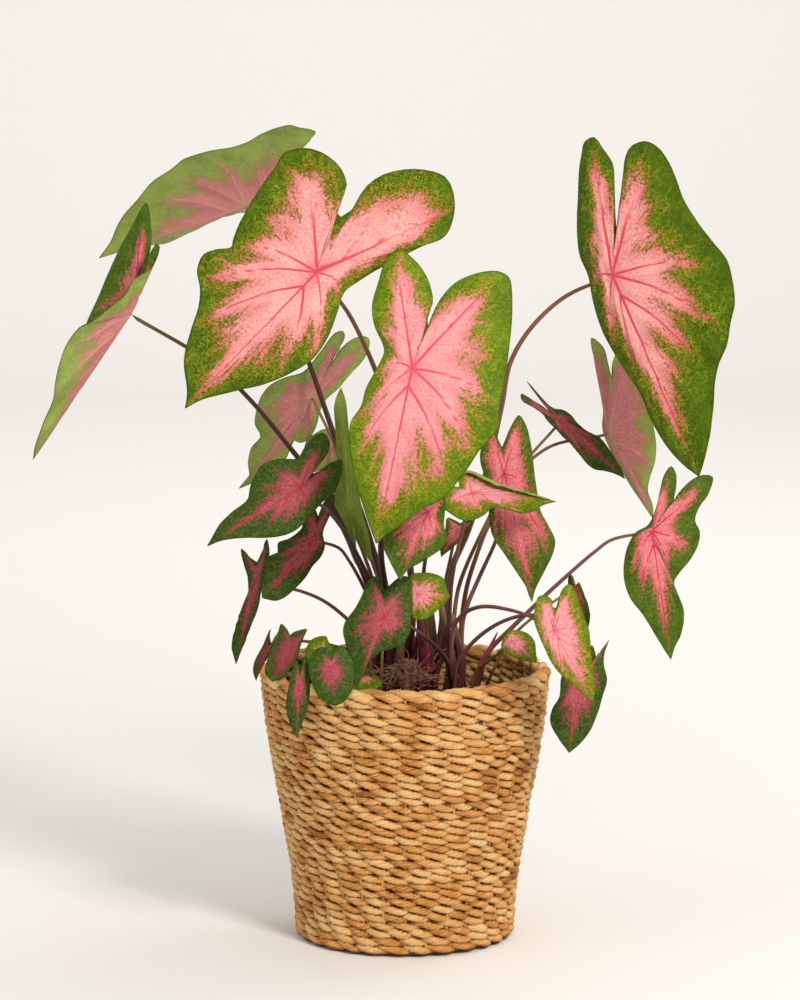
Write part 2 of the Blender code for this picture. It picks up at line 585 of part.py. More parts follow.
def blade_solid(blade):
    """The blade as a thin closed sheet: an upper and a lower skin joined round the margin."""
    angles = [-180 + 360 * step / BLADE_STEPS for step in range(BLADE_STEPS)]
    reaches = [(ring + 1) / BLADE_RINGS for ring in range(BLADE_RINGS)]
    middle = bmesh.new()
    centre = middle.verts.new(blade.joint)
    rings = [[middle.verts.new(blade.point(angle, reach)) for angle in angles] for reach in reaches]
    for step in range(BLADE_STEPS):
        beyond = (step + 1) % BLADE_STEPS
        middle.faces.new((centre, rings[0][step], rings[0][beyond]))
        for inner, outer in zip(rings, rings[1:]):
            middle.faces.new((inner[step], outer[step], outer[beyond], inner[beyond]))
    middle.normal_update()
    count = 1 + BLADE_STEPS * BLADE_RINGS
    middle.verts.index_update()
    spots = [vert.co.copy() for vert in middle.verts]
    normals = [vert.normal.copy() for vert in middle.verts]
    faces = [[vert.index for vert in face.verts] for face in middle.faces]
    middle.free()
    shape = bmesh.new()
    half = BLADE_THICKNESS / 2
    upper = [shape.verts.new(spot + normal * half) for spot, normal in zip(spots, normals)]
    lower = [shape.verts.new(spot - normal * half) for spot, normal in zip(spots, normals)]
    for face in faces:
        shape.faces.new([upper[index] for index in face])
        shape.faces.new([lower[index] for index in reversed(face)])
    first = count - BLADE_STEPS
    for step in range(BLADE_STEPS):
        here = first + step
        beyond = first + (step + 1) % BLADE_STEPS
        shape.faces.new((upper[here], lower[here], lower[beyond], upper[beyond]))
    bmesh.ops.triangulate(shape, faces=shape.faces)
    return shape


def soil_height(x, y):
    """Height of the soil under a point."""
    share = min(1.0, math.hypot(x, y) / SOIL_MOUND_RADIUS)
    return SOIL_EDGE_HEIGHT + (SOIL_MOUND_HEIGHT - SOIL_EDGE_HEIGHT) * 0.5 * (1 + math.cos(math.pi * share))


def stalk_line(row, blade):
    """Centre line of a leaf stalk: from the soil, through the seen points, to the back of its blade."""
    foot_x, foot_y = row["stalk_root"]
    nearest = max(0.0, math.hypot(foot_x, foot_y) - row["stalk_radius"])
    foot = np.array([foot_x, foot_y, soil_height(nearest, 0.0) + GAP])
    back, rise = blade.underside(row["stalk_radius"])
    top = blade.joint + back * (BLADE_THICKNESS / 2 + 2 * GAP + rise)
    knuckle = top + back * STALK_KNUCKLE
    points = [foot, foot + np.array([0.0, 0.0, STALK_UPRIGHT])]
    points += [seen(*spot) for spot in row["stalk"]]
    points += [knuckle, top]
    return points


def resample(points, count):
    """Evenly spaced points of the smooth curve through the points."""
    spots = np.array(points, float)
    dense = [along_curve(spots, step / ROUTE_SAMPLES, axes=3) for step in range(ROUTE_SAMPLES + 1)]
    steps = np.linalg.norm(np.diff(dense, axis=0), axis=1)
    chord = np.concatenate([[0.0], np.cumsum(steps)])
    wanted = np.linspace(0, chord[-1], count)
    return np.array([np.interp(wanted, chord, np.array(dense)[:, axis]) for axis in range(3)]).T


def closest_between(start_a, end_a, start_b, end_b):
    """Closest shares along every pair of segments, and the gap vector from a to b."""
    run_a = (end_a - start_a)[:, None, :]
    run_b = (end_b - start_b)[None, :, :]
    across = start_a[:, None, :] - start_b[None, :, :]
    aa = (run_a * run_a).sum(2)
    bb = (run_b * run_b).sum(2)
    ab = (run_a * run_b).sum(2)
    a_across = (run_a * across).sum(2)
    b_across = (run_b * across).sum(2)
    share_a = np.clip((ab * b_across - bb * a_across) / np.maximum(aa * bb - ab * ab, 1e-12), 0, 1)
    share_b = np.clip((ab * share_a + b_across) / bb, 0, 1)
    share_a = np.clip((ab * share_b - a_across) / aa, 0, 1)
    gap = -across + run_b * share_b[..., None] - run_a * share_a[..., None]
    return share_a, share_b, gap


def bow_apart(lines, radii, tree, owners):
    """Bows the stalks round one another and round the blades until none of them touch."""
    count = len(lines)
    for _ in range(BOW_ROUNDS):
        moved = 0.0
        shifts = [np.zeros_like(line) for line in lines]
        for a in range(count):
            for b in range(a + 1, count):
                low = np.maximum(lines[a].min(0), lines[b].min(0))
                high = np.minimum(lines[a].max(0), lines[b].max(0))
                if (low - high).max() > BOW_NEAR:
                    continue
                first = lines[a]
                second = lines[b]
                share_a, share_b, gap = closest_between(first[:-1], first[1:], second[:-1], second[1:])
                apart = np.linalg.norm(gap, axis=2)
                stations_a = (np.arange(STALK_STEPS)[:, None] + share_a) / STALK_STEPS
                stations_b = (np.arange(STALK_STEPS)[None, :] + share_b) / STALK_STEPS
                radius_a = radii[a][0] + (radii[a][1] - radii[a][0]) * stations_a
                radius_b = radii[b][0] + (radii[b][1] - radii[b][0]) * stations_b
                lack = radius_a + radius_b + STALK_CLEARANCE - apart
                for i, j in zip(*np.nonzero(lack > 0)):
                    way = gap[i, j] / max(apart[i, j], 1e-9)
                    push = way * lack[i, j] * BOW_SHARE
                    shifts[a][i] -= push * (1 - share_a[i, j])
                    shifts[a][i + 1] -= push * share_a[i, j]
                    shifts[b][j] += push * (1 - share_b[i, j])
                    shifts[b][j + 1] += push * share_b[i, j]
                    moved = max(moved, lack[i, j])
        for a in range(count):
            line = lines[a]
            for i in range(STALK_STEPS):
                for part in range(BOW_TRIALS):
                    share = (part + 0.5) / BOW_TRIALS
                    spot = line[i] * (1 - share) + line[i + 1] * share
                    station = (i + share) / STALK_STEPS
                    radius = radii[a][0] + (radii[a][1] - radii[a][0]) * station
                    found, _, face, distance = tree.find_nearest(Vector(spot), BLADE_NEAR)
                    if found is None or (owners[face] == a and i >= STALK_STEPS - 2):
                        continue
                    lack = radius + BLADE_THICKNESS + STALK_CLEARANCE - distance
                    if lack <= 0:
                        continue
                    push = (spot - np.array(found)) / max(distance, 1e-9) * lack * BLADE_BOW_SHARE
                    shifts[a][i] += push * (1 - share)
                    shifts[a][i + 1] += push * share
                    moved = max(moved, lack)
        for a in range(count):
            shifts[a][0] = 0
            shifts[a][-2:] = 0
            lines[a] = lines[a] + shifts[a]
        if moved < BOW_DONE:
            break
    return lines


def blade_tree(blades):
    """Search tree over the middle surfaces of all blades, with the blade each face belongs to."""
    spots = []
    faces = []
    owners = []
    for owner, blade in enumerate(blades):
        base = len(spots)
        spots.append(Vector(blade.joint))
        for ring in range(BLADE_RINGS):
            for step in range(BLADE_STEPS):
                spots.append(Vector(blade.point(-180 + 360 * step / BLADE_STEPS, (ring + 1) / BLADE_RINGS)))
        for step in range(BLADE_STEPS):
            beyond = (step + 1) % BLADE_STEPS
            faces.append((base, base + 1 + step, base + 1 + beyond))
            owners.append(owner)
            for ring in range(BLADE_RINGS - 1):
                inner = base + 1 + ring * BLADE_STEPS
                outer = inner + BLADE_STEPS
                faces.append((inner + step, outer + step, outer + beyond, inner + beyond))
                owners.append(owner)
    return BVHTree.FromPolygons(spots, faces), owners


def tube(line, start_radius, end_radius, sides):
    """A round rod along a centre line, closed at both ends and cut level at its foot."""
    shape = bmesh.new()
    count = len(line)
    rings = []
    side = np.array([1.0, 0.0, 0.0])
    for index, spot in enumerate(line):
        ahead = line[min(index + 1, count - 1)] - line[max(index - 1, 0)]
        if index == 0:
            ahead = np.array([0.0, 0.0, 1.0])
        ahead = ahead / np.linalg.norm(ahead)
        side = side - ahead * (side @ ahead)
        side = side / np.linalg.norm(side)
        other = np.cross(ahead, side)
        radius = start_radius + (end_radius - start_radius) * index / (count - 1)
        ring = []
        for step in range(sides):
            angle = 2 * math.pi * step / sides
            ring.append(shape.verts.new(spot + radius * (math.cos(angle) * side + math.sin(angle) * other)))
        rings.append(ring)
    for lower, upper in zip(rings, rings[1:]):
        for step in range(sides):
            beyond = (step + 1) % sides
            shape.faces.new((lower[step], lower[beyond], upper[beyond], upper[step]))
    shape.faces.new(list(reversed(rings[0])))
    shape.faces.new(rings[-1])
    return shape


for old in list(bpy.data.objects):
    bpy.data.objects.remove(old, do_unlink=True)

straw = material("straw", (0.62, 0.40, 0.18), 0.75)
black_plastic = material("black_plastic", (0.02, 0.02, 0.022), 0.45)
potting_soil = material("potting_soil", (0.035, 0.022, 0.015), 0.95)
corm_bark = material("corm_bark", (0.13, 0.06, 0.04), 0.85)
leaf_green = material("leaf_green", (0.10, 0.20, 0.02), 0.45)
stalk_brown = material("stalk_brown", (0.16, 0.07, 0.05), 0.45)

# Basket: one turned shell with a floor, its rim rounded over.
rim_middle = BASKET_RIM_RADIUS - BASKET_THICKNESS / 2
basket_profile = [(0.0, 0.0), *BASKET_WALL]
basket_profile.append((BASKET_RIM_RADIUS, BASKET_HEIGHT - BASKET_RIM_DROP))
basket_profile.append((BASKET_RIM_RADIUS - BASKET_RIM_ROUND / 3, BASKET_HEIGHT - BASKET_RIM_ROUND))
basket_profile.append((rim_middle, BASKET_HEIGHT))
basket_profile.append((BASKET_RIM_RADIUS - BASKET_THICKNESS, BASKET_HEIGHT - BASKET_RIM_ROUND))
for radius, height in reversed(BASKET_WALL[1:]):
    basket_profile.append((radius - BASKET_THICKNESS, height))
basket_profile.append((BASKET_WALL[0][0] - BASKET_THICKNESS, BASKET_FLOOR))
basket_profile.append((0.0, BASKET_FLOOR))
make_object("basket", solid_turned(basket_profile, BASKET_SIDES), straw)

# Nursery pot: a thin wall and floor with a drain hole in the middle, and a lip round the top.
pot_foot = BASKET_FLOOR + GAP
pot_profile = [
    (DRAIN_RADIUS, pot_foot),
    (POT_FOOT_RADIUS, pot_foot),
    (POT_RIM_RADIUS - POT_LIP, POT_RIM_HEIGHT - POT_LIP_HEIGHT),
    (POT_RIM_RADIUS, POT_RIM_HEIGHT - POT_LIP_HEIGHT + POT_CHAMFER),
    (POT_RIM_RADIUS, POT_RIM_HEIGHT),
    (POT_RIM_RADIUS - POT_LIP - POT_WALL, POT_RIM_HEIGHT),
    (POT_FOOT_RADIUS - POT_WALL, pot_foot + POT_WALL),
    (DRAIN_RADIUS, pot_foot + POT_WALL),
]
make_object("nursery_pot", turned(pot_profile, POT_SIDES), black_plastic)

# Soil: a plug that fills the pot and rises to a low mound under the stalks.
soil_foot = pot_foot + POT_WALL + GAP
pot_slope = (POT_RIM_RADIUS - POT_LIP - POT_FOOT_RADIUS) / (POT_RIM_HEIGHT - pot_foot)
soil_foot_radius = POT_FOOT_RADIUS - POT_WALL - SOIL_PLAY
soil_profile = [(0.0, soil_foot), (soil_foot_radius, soil_foot)]
soil_edge = soil_foot_radius + pot_slope * (SOIL_EDGE_HEIGHT - soil_foot)
soil_profile.append((soil_edge - BLADE_THICKNESS, SOIL_EDGE_HEIGHT))
for ring in range(SOIL_RINGS, -1, -1):
    ring_radius = SOIL_MOUND_RADIUS * ring / SOIL_RINGS
    soil_profile.append((ring_radius, soil_height(ring_radius, 0.0)))
make_object("soil", solid_turned(soil_profile, POT_SIDES), potting_soil)


def corm_lump(angle, height):
    """How far the corm's skin stands out at an angle and a height: three broad lumps and slanting ridges."""
    return 1.0 + CORM_LUMP * math.sin(3 * angle + 1.0) + CORM_RIDGE * math.sin(7 * angle + height * 300)


# Corm: the lumpy brown foot of the plant, standing on the soil in front of the stalks.
corm_reach = CORM_RADIUS * (1 + CORM_LUMP + CORM_RIDGE)
corm_foot = soil_height(0.0, CORM_CENTRE[1] + corm_reach) + GAP
corm_profile = [(0.0, corm_foot)]
for ring in range(1, CORM_RINGS):
    turn = math.pi * ring / CORM_RINGS
    height = corm_foot + CORM_HEIGHT * 0.5 * (1 - math.cos(turn))
    corm_profile.append((CORM_RADIUS * math.sin(turn) ** 0.7, height))
corm_profile.append((0.0, corm_foot + CORM_HEIGHT))
corm_shape = solid_turned(corm_profile, CORM_SIDES, corm_lump)
bmesh.ops.translate(corm_shape, verts=corm_shape.verts, vec=(CORM_CENTRE[0], CORM_CENTRE[1], 0.0))
make_object("corm", corm_shape, corm_bark)

# Leaves: every blade first, then the stalks bowed clear of one another and of the blades.
blades = [Blade(row) for row in LEAVES]
tree, owners = blade_tree(blades)
radii = []
for row in LEAVES:
    thin = row["stalk_radius"] <= THIN_STALK_RADIUS
    radii.append((row["stalk_radius"], THIN_STALK_END_RADIUS if thin else STALK_END_RADIUS))
lines = [resample(stalk_line(row, blade), STALK_STEPS + 1) for row, blade in zip(LEAVES, blades)]
for line, row, blade in zip(lines, LEAVES, blades):
    line[-2] = stalk_line(row, blade)[-2]
lines = bow_apart(lines, radii, tree, owners)
for row, blade, line, (foot_radius, end_radius) in zip(LEAVES, blades, lines, radii):
    make_object("blade_" + row["number"], blade_solid(blade), leaf_green)
    make_object("stalk_" + row["number"], tube(line, foot_radius, end_radius, STALK_SIDES), stalk_brown)
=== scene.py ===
import math
import random

import bmesh
import bpy
import numpy as np
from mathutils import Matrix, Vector, noise
from mathutils.bvhtree import BVHTree


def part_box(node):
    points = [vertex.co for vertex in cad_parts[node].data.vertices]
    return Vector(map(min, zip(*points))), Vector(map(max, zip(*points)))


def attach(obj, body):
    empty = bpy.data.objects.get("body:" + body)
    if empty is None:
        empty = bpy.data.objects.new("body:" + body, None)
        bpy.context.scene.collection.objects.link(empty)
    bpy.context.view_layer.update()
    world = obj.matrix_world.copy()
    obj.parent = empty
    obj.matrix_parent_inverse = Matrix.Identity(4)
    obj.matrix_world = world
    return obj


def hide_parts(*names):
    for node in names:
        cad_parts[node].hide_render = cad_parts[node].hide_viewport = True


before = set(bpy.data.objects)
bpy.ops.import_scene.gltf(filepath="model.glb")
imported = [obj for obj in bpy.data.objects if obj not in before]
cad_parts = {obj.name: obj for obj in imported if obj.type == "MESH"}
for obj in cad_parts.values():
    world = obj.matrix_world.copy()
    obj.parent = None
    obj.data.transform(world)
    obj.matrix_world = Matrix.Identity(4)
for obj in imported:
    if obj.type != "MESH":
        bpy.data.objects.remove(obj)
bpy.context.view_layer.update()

# Camera: three metres in front of the plant and looking slightly down on it, as the photograph does.
# The long lens keeps the basket's rim and foot nearly the same flat ellipses.
EYE = np.array([-0.0037, -3.0, 0.745])
EYE_PITCH = math.radians(7.92)
EYE_FOCAL = 4088.0
EYE_CENTRE = (400.0, 500.0)
SENSOR = 36.0
PICTURE_HEIGHT = 1000.0

lens = bpy.data.cameras.new("camera")
lens.sensor_width = SENSOR
lens.lens = EYE_FOCAL * SENSOR / PICTURE_HEIGHT
camera = bpy.data.objects.new("camera", lens)
camera.location = EYE
camera.rotation_euler = (math.pi / 2 - EYE_PITCH, 0.0, 0.0)
bpy.context.scene.collection.objects.link(camera)
bpy.context.scene.camera = camera


# Stage: a pale floor that curves up into a pale wall, with one large soft light in front and above,
# a weaker one on the left, one that only lights the wall, and an even pale sky.
def node_material(name):
    """An empty node material with its shader: returns the material, its nodes, its links and the shader."""
    made = bpy.data.materials.new(name)
    made.use_nodes = True
    tree = made.node_tree
    return made, tree.nodes, tree.links, tree.nodes["Principled BSDF"]


def add_object(name, shape, *surfaces):
    """Turns a bmesh into a smooth-shaded object that lies in the object's own frame."""
    mesh = bpy.data.meshes.new(name)
    shape.to_mesh(mesh)
    shape.free()
    for surface in surfaces:
        mesh.materials.append(surface)
    mesh.polygons.foreach_set("use_smooth", [True] * len(mesh.polygons))
    made = bpy.data.objects.new(name, mesh)
    bpy.context.scene.collection.objects.link(made)
    return made


FLOOR_HALF = 6.0
FLOOR_SPREAD = 3.0
WALL_START = 3.6
WALL_RADIUS = 0.9
stage_paint, nodes, links, shader = node_material("stage_paint")
shader.inputs["Base Color"].default_value = (0.84, 0.825, 0.80, 1.0)
shader.inputs["Roughness"].default_value = 0.9
cove = bmesh.new()
bmesh.ops.create_grid(cove, x_segments=2, y_segments=120, size=FLOOR_HALF)
for vert in cove.verts:
    vert.co.x *= FLOOR_SPREAD
    run = vert.co.y - WALL_START
    if run > 0:
        turn = min(run / WALL_RADIUS, math.pi / 2)
        rise = max(0.0, run - WALL_RADIUS * math.pi / 2)
        vert.co.y = WALL_START + WALL_RADIUS * math.sin(turn)
        vert.co.z = WALL_RADIUS * (1 - math.cos(turn)) + rise
add_object("stage", cove, stage_paint)


def soft_light(name, place, aim, size, energy, colour):
    lamp = bpy.data.lights.new(name, "AREA")
    lamp.shape = "SQUARE"
    lamp.size = size
    lamp.energy = energy
    lamp.color = colour
    made = bpy.data.objects.new(name, lamp)
    made.location = place
    made.visible_camera = False
    made.rotation_euler = (Vector(aim) - Vector(place)).to_track_quat("-Z", "Y").to_euler()
    bpy.context.scene.collection.objects.link(made)


soft_light("key_light", (1.1, -2.1, 1.9), (0.0, 0.0, 0.3), 0.6, 57.0, (1.0, 0.96, 0.905))
soft_light("side_light", (-2.2, -1.0, 1.3), (0.0, 0.0, 0.35), 1.8, 6.0, (0.95, 0.97, 1.0))
soft_light("back_light", (1.4, 1.1, 1.9), (0.0, 0.0, 0.4), 1.2, 12.0, (1.0, 0.97, 0.93))
soft_light("wall_light", (0.0, 2.0, 2.8), (0.0, 4.5, 0.5), 2.0, 40.0, (1.0, 0.975, 0.95))
sky = bpy.data.worlds.new("pale_sky")
sky.use_nodes = True
sky.node_tree.nodes["Background"].inputs["Color"].default_value = (1.0, 0.985, 0.96, 1.0)
sky.node_tree.nodes["Background"].inputs["Strength"].default_value = 0.60
bpy.context.scene.world = sky
bpy.context.scene.view_settings.view_transform = "Standard"

# Basket body: water hyacinth cords, each of two stems twined round upright stakes, laid row on row
# from the foot to the rim. The wall leans outwards, and every row's slanting strands fall to the right.
def rolled_sheet(shape, steps, sides, place, close_ends=True):
    """Warps a grid into a tube: place(along, round) gives a spot, both from 0 to 1. Returns its vertices."""
    made = bmesh.ops.create_grid(shape, x_segments=steps, y_segments=sides, size=0.5)["verts"]
    ways = {}
    for vert in made:
        along = vert.co.x + 0.5
        turn = vert.co.y + 0.5
        ways[vert] = (along, turn)
        vert.co = place(along, turn)
    return ways


def add_uv(shape, ways, name="flow"):
    """Keeps each corner's (along, round) as a UV map, before the seams are merged."""
    layer = shape.loops.layers.uv.new(name) if name not in shape.loops.layers.uv else shape.loops.layers.uv[name]
    for face in {face for vert in ways for face in vert.link_faces}:
        for loop in face.loops:
            loop[layer].uv = ways[loop.vert]


def close_seams(shape, reach=2e-6):
    """Joins the edges that meet and turns every face outwards."""
    bmesh.ops.remove_doubles(shape, verts=shape.verts, dist=reach)
    bmesh.ops.recalc_face_normals(shape, faces=shape.faces)


WALL = [(0.083, 0.0), (0.0845, 0.025), (0.088, 0.055), (0.094, 0.0915), (0.1005, 0.128), (0.1065, 0.165), (0.110, 0.2005)]
BASKET_HEIGHT = 0.2045
RIM_BAND = 0.0090
ROW_COUNT = 32
FOOT_LIFT = 0.0027
STRAND_RADIUS = 0.0034
TWINE_RADIUS = 0.0021
STRAND_LENGTH = 0.0165
STRAND_SIDES = 7
STRAND_STEPS = 11
STRAND_RIDGE = 0.05


def wall_radius(height):
    return float(np.interp(height, [spot[1] for spot in WALL], [spot[0] for spot in WALL]))


def twined_row(shape, radius, height, cords, twine, thick, length, start, steps):
    """One cord of twined strands round the basket, closed on itself, with its fibres running along it."""
    turns = max(cords, round(2 * math.pi * radius / (length * cords)))
    for cord in range(cords):

        def place(along, turn, cord=cord):
            angle = 2 * math.pi * along
            twist = turns * angle + 2 * math.pi * cord / cords + start
            wobble = noise.noise((3.0 * math.cos(angle), 3.0 * math.sin(angle), 40 * height)) * 0.0009
            twist += 0.6 * noise.noise((5.0 * math.cos(angle), 5.0 * math.sin(angle), 70 * height))
            spot = (turns * 0.6 * math.cos(angle), turns * 0.6 * math.sin(angle), 90 * height + 7 * cord)
            swell = 0.97 + 0.22 * noise.noise(spot)
            belly = 0.90 + 0.12 * max(0.0, math.cos(twist))
            out = twine * math.cos(twist) - 0.0006
            up = -0.80 * twine * math.sin(twist)
            spin = 2 * math.pi * turn + twist
            ridge = 1.0 + STRAND_RIDGE * math.cos(6 * 2 * math.pi * turn + 3 * noise.noise(spot))
            out += thick * swell * belly * ridge * math.cos(spin) * 0.85
            up += thick * swell * belly * ridge * math.sin(spin)
            reach = radius + out
            return Vector((reach * math.cos(angle), reach * math.sin(angle), height + up + wobble))

        ways = rolled_sheet(shape, turns * steps, STRAND_SIDES, place)
        for vert, (along, turn) in ways.items():
            ways[vert] = (along * turns + (cord / cords) + start / (2 * math.pi) + 0.5, turn + round(height * 4000) + 97 * cord)
        add_uv(shape, ways)


def straw_material(name, pale, middle, dark, streak):
    """Dry plant stem: fibres that run along the strand, strands of different ages, and painted shade that darkens it
    where strands dive under.
    """
    made, nodes, links, shader = node_material(name)
    flow = nodes.new("ShaderNodeUVMap")
    flow.uv_map = "flow"
    stretch = nodes.new("ShaderNodeMapping")
    stretch.inputs["Scale"].default_value = (2.6, 34.0, 1.0)
    fibres = nodes.new("ShaderNodeTexNoise")
    fibres.inputs["Scale"].default_value = 1.0
    fibres.inputs["Detail"].default_value = 5.0
    fibres.inputs["Roughness"].default_value = 0.65
    links.new(flow.outputs["UV"], stretch.inputs["Vector"])
    links.new(stretch.outputs["Vector"], fibres.inputs["Vector"])
    # Every bulge of a strand is a length of its own stem, so each gets a tone of its own.
    lengths = nodes.new("ShaderNodeVectorMath")
    lengths.operation = "FLOOR"
    links.new(flow.outputs["UV"], lengths.inputs[0])
    ages = nodes.new("ShaderNodeTexWhiteNoise")
    ages.noise_dimensions = "2D"
    links.new(lengths.outputs["Vector"], ages.inputs["Vector"])
    body = nodes.new("ShaderNodeTexCoord")
    patches = nodes.new("ShaderNodeTexNoise")
    patches.inputs["Scale"].default_value = 55.0
    patches.inputs["Detail"].default_value = 3.0
    links.new(body.outputs["Object"], patches.inputs["Vector"])
    tone = nodes.new("ShaderNodeMath")
    tone.operation = "MULTIPLY_ADD"
    tone.inputs[1].default_value = 0.42
    links.new(ages.outputs["Value"], tone.inputs[0])
    links.new(patches.outputs["Fac"], tone.inputs[2])
    blend = nodes.new("ShaderNodeMath")
    blend.operation = "MULTIPLY_ADD"
    blend.inputs[1].default_value = streak
    links.new(fibres.outputs["Fac"], blend.inputs[0])
    links.new(tone.outputs["Value"], blend.inputs[2])
    spread = nodes.new("ShaderNodeMapRange")
    spread.inputs["From Min"].default_value = 1.10
    spread.inputs["From Max"].default_value = 1.85
    links.new(blend.outputs["Value"], spread.inputs["Value"])
    tones = nodes.new("ShaderNodeValToRGB")
    tones.color_ramp.elements[0].position = 0.0
    tones.color_ramp.elements[0].color = (*dark, 1.0)
    tones.color_ramp.elements[1].position = 1.0
    tones.color_ramp.elements[1].color = (*pale, 1.0)
    half = tones.color_ramp.elements.new(0.45)
    half.color = (*middle, 1.0)
    links.new(spread.outputs["Result"], tones.inputs["Fac"])
    # Painted shade: an ambient-occlusion pass (6 mm reach) multiplies the colour by a dark brown where strands dive
    # under one another, in the gaps between rows and against the stakes.
    occlusion_for_painted_shade = nodes.new("ShaderNodeAmbientOcclusion")
    occlusion_for_painted_shade.inputs["Distance"].default_value = 0.006
    occlusion_for_painted_shade.samples = 6
    links.new(tones.outputs["Color"], occlusion_for_painted_shade.inputs["Color"])
    shade = nodes.new("ShaderNodeMix")
    shade.data_type = "RGBA"
    shade.blend_type = "MULTIPLY"
    shade.inputs["B"].default_value = (0.24, 0.09, 0.03, 1.0)
    depth = nodes.new("ShaderNodeMapRange")
    depth.inputs["From Min"].default_value = 0.85
    depth.inputs["From Max"].default_value = 0.25
    links.new(occlusion_for_painted_shade.outputs["AO"], depth.inputs["Value"])
    links.new(depth.outputs["Result"], shade.inputs["Factor"])
    links.new(tones.outputs["Color"], shade.inputs["A"])
    links.new(shade.outputs["Result"], shader.inputs["Base Color"])
    shader.inputs["Roughness"].default_value = 0.62
    shader.inputs["Specular IOR Level"].default_value = 0.22
    grain = nodes.new("ShaderNodeBump")
    grain.inputs["Strength"].default_value = 1.0
    grain.inputs["Distance"].default_value = 0.0012
    links.new(fibres.outputs["Fac"], grain.inputs["Height"])
    links.new(grain.outputs["Normal"], shader.inputs["Normal"])
    return made


straw = straw_material("straw", (0.96, 0.63, 0.27), (0.75, 0.335, 0.078), (0.23, 0.066, 0.012), 1.7)
row_pitch = (BASKET_HEIGHT - RIM_BAND - FOOT_LIFT) / ROW_COUNT
half_rows = ROW_COUNT // 2 + 1
body_pieces = []
lay = random.Random(3)
for part, rows in (("lower", range(0, half_rows)), ("upper", range(half_rows, ROW_COUNT))):
    body = bmesh.new()
    for row in rows:
        height = FOOT_LIFT + row_pitch * (row + 0.5)
        middle = wall_radius(height) - TWINE_RADIUS - STRAND_RADIUS
        bulge = 1.10 if row < 3 else 1.0
        phase = lay.uniform(0, 2 * math.pi)
        length = STRAND_LENGTH * lay.uniform(0.9, 1.15)
        twined_row(body, middle, height, 2, TWINE_RADIUS, STRAND_RADIUS * bulge, length, phase, STRAND_STEPS)
    close_seams(body)
    body_pieces.append(add_object("basket_rows_" + part, body, straw))

# Basket rim: two thicker stems twined once more round the top, so that longer strands lie almost level
# along the edge and cover the ends of the stakes.
RIM_STRAND = 0.0042
RIM_TWINE = 0.0027
RIM_LENGTH = 0.0215
rim_straw = straw_material("rim_straw", (0.97, 0.66, 0.30), (0.76, 0.365, 0.098), (0.26, 0.080, 0.016), 1.7)
rim = bmesh.new()
rim_height = BASKET_HEIGHT - 0.8 * RIM_TWINE - RIM_STRAND * 0.95
rim_middle = wall_radius(BASKET_HEIGHT) - RIM_TWINE - RIM_STRAND
twined_row(rim, rim_middle, rim_height, 2, RIM_TWINE, RIM_STRAND, RIM_LENGTH, 0.4, 16)
close_seams(rim)
basket_rim = add_object("basket_rim", rim, rim_straw)

# Basket stakes and foot: upright stems that the cords are twined round, and flat rings of the same
# stem that close the bottom.
STAKE_COUNT = 32
STAKE_RADIUS = 0.0016
FOOT_RING_STEP = 0.0062
FOOT_RING_THICK = 0.0033
inside = bmesh.new()
for stake in range(STAKE_COUNT):
    bearing = 2 * math.pi * stake / STAKE_COUNT

    def stake_place(along, turn, bearing=bearing):
        height = 0.004 + along * (BASKET_HEIGHT - 0.012)
        middle = wall_radius(height) - TWINE_RADIUS - STRAND_RADIUS + STAKE_RADIUS * math.cos(2 * math.pi * turn)
        side = STAKE_RADIUS * math.sin(2 * math.pi * turn)
        return Vector((middle * math.cos(bearing) - side * math.sin(bearing), middle * math.sin(bearing) + side * math.cos(bearing), height))

    add_uv(inside, rolled_sheet(inside, 12, 5, stake_place))
ring_radius = wall_radius(0.0) - 0.010
while ring_radius > 0.004:

    def ring_place(along, turn, radius=ring_radius):
        angle = 2 * math.pi * along
        thick = FOOT_RING_THICK * (1 + 0.1 * noise.noise((radius * 900 + 4 * math.cos(angle), 4 * math.sin(angle), 0.5)))
        reach = radius + thick * math.cos(2 * math.pi * turn)
        return Vector((reach * math.cos(angle), reach * math.sin(angle), FOOT_RING_THICK * 1.15 + thick * math.sin(2 * math.pi * turn)))

    add_uv(inside, rolled_sheet(inside, max(12, int(ring_radius * 900)), 7, ring_place))
    ring_radius -= FOOT_RING_STEP
close_seams(inside)
basket_inside = add_object("basket_stakes_and_foot", inside, straw)
for piece in (*body_pieces, basket_rim, basket_inside):
    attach(piece, "root")
    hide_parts("basket")

# Nursery pot: thin black plastic, moulded in one piece, standing on the basket's foot. Only its lip and
# the upper part of its wall show, dusted with potting soil.
pot_plastic, nodes, links, shader = node_material("pot_plastic")
spot = nodes.new("ShaderNodeTexCoord")
scuffs = nodes.new("ShaderNodeTexNoise")
scuffs.inputs["Scale"].default_value = 130.0
scuffs.inputs["Detail"].default_value = 6.0
dust = nodes.new("ShaderNodeValToRGB")
dust.color_ramp.elements[0].position = 0.45
dust.color_ramp.elements[0].color = (0.012, 0.012, 0.013, 1.0)
dust.color_ramp.elements[1].position = 0.75
dust.color_ramp.elements[1].color = (0.055, 0.042, 0.032, 1.0)
links.new(spot.outputs["Object"], scuffs.inputs["Vector"])
links.new(scuffs.outputs["Fac"], dust.inputs["Fac"])
links.new(dust.outputs["Color"], shader.inputs["Base Color"])
shader.inputs["Roughness"].default_value = 0.48
pot_grain = nodes.new("ShaderNodeBump")
pot_grain.inputs["Strength"].default_value = 0.25
pot_grain.inputs["Distance"].default_value = 0.0004
links.new(scuffs.outputs["Fac"], pot_grain.inputs["Height"])
links.new(pot_grain.outputs["Normal"], shader.inputs["Normal"])
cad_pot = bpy.data.objects["nursery_pot"]
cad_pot.data.materials.clear()
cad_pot.data.materials.append(pot_plastic)

# Potting soil: a dark peaty plug that fills the pot to a low mound, with coarse crumbs, chips of bark
# and a few white grains of perlite lying on it.
SOIL_EDGE_HEIGHT = 0.157
SOIL_MOUND_HEIGHT = 0.190
SOIL_RADIUS = 0.0825


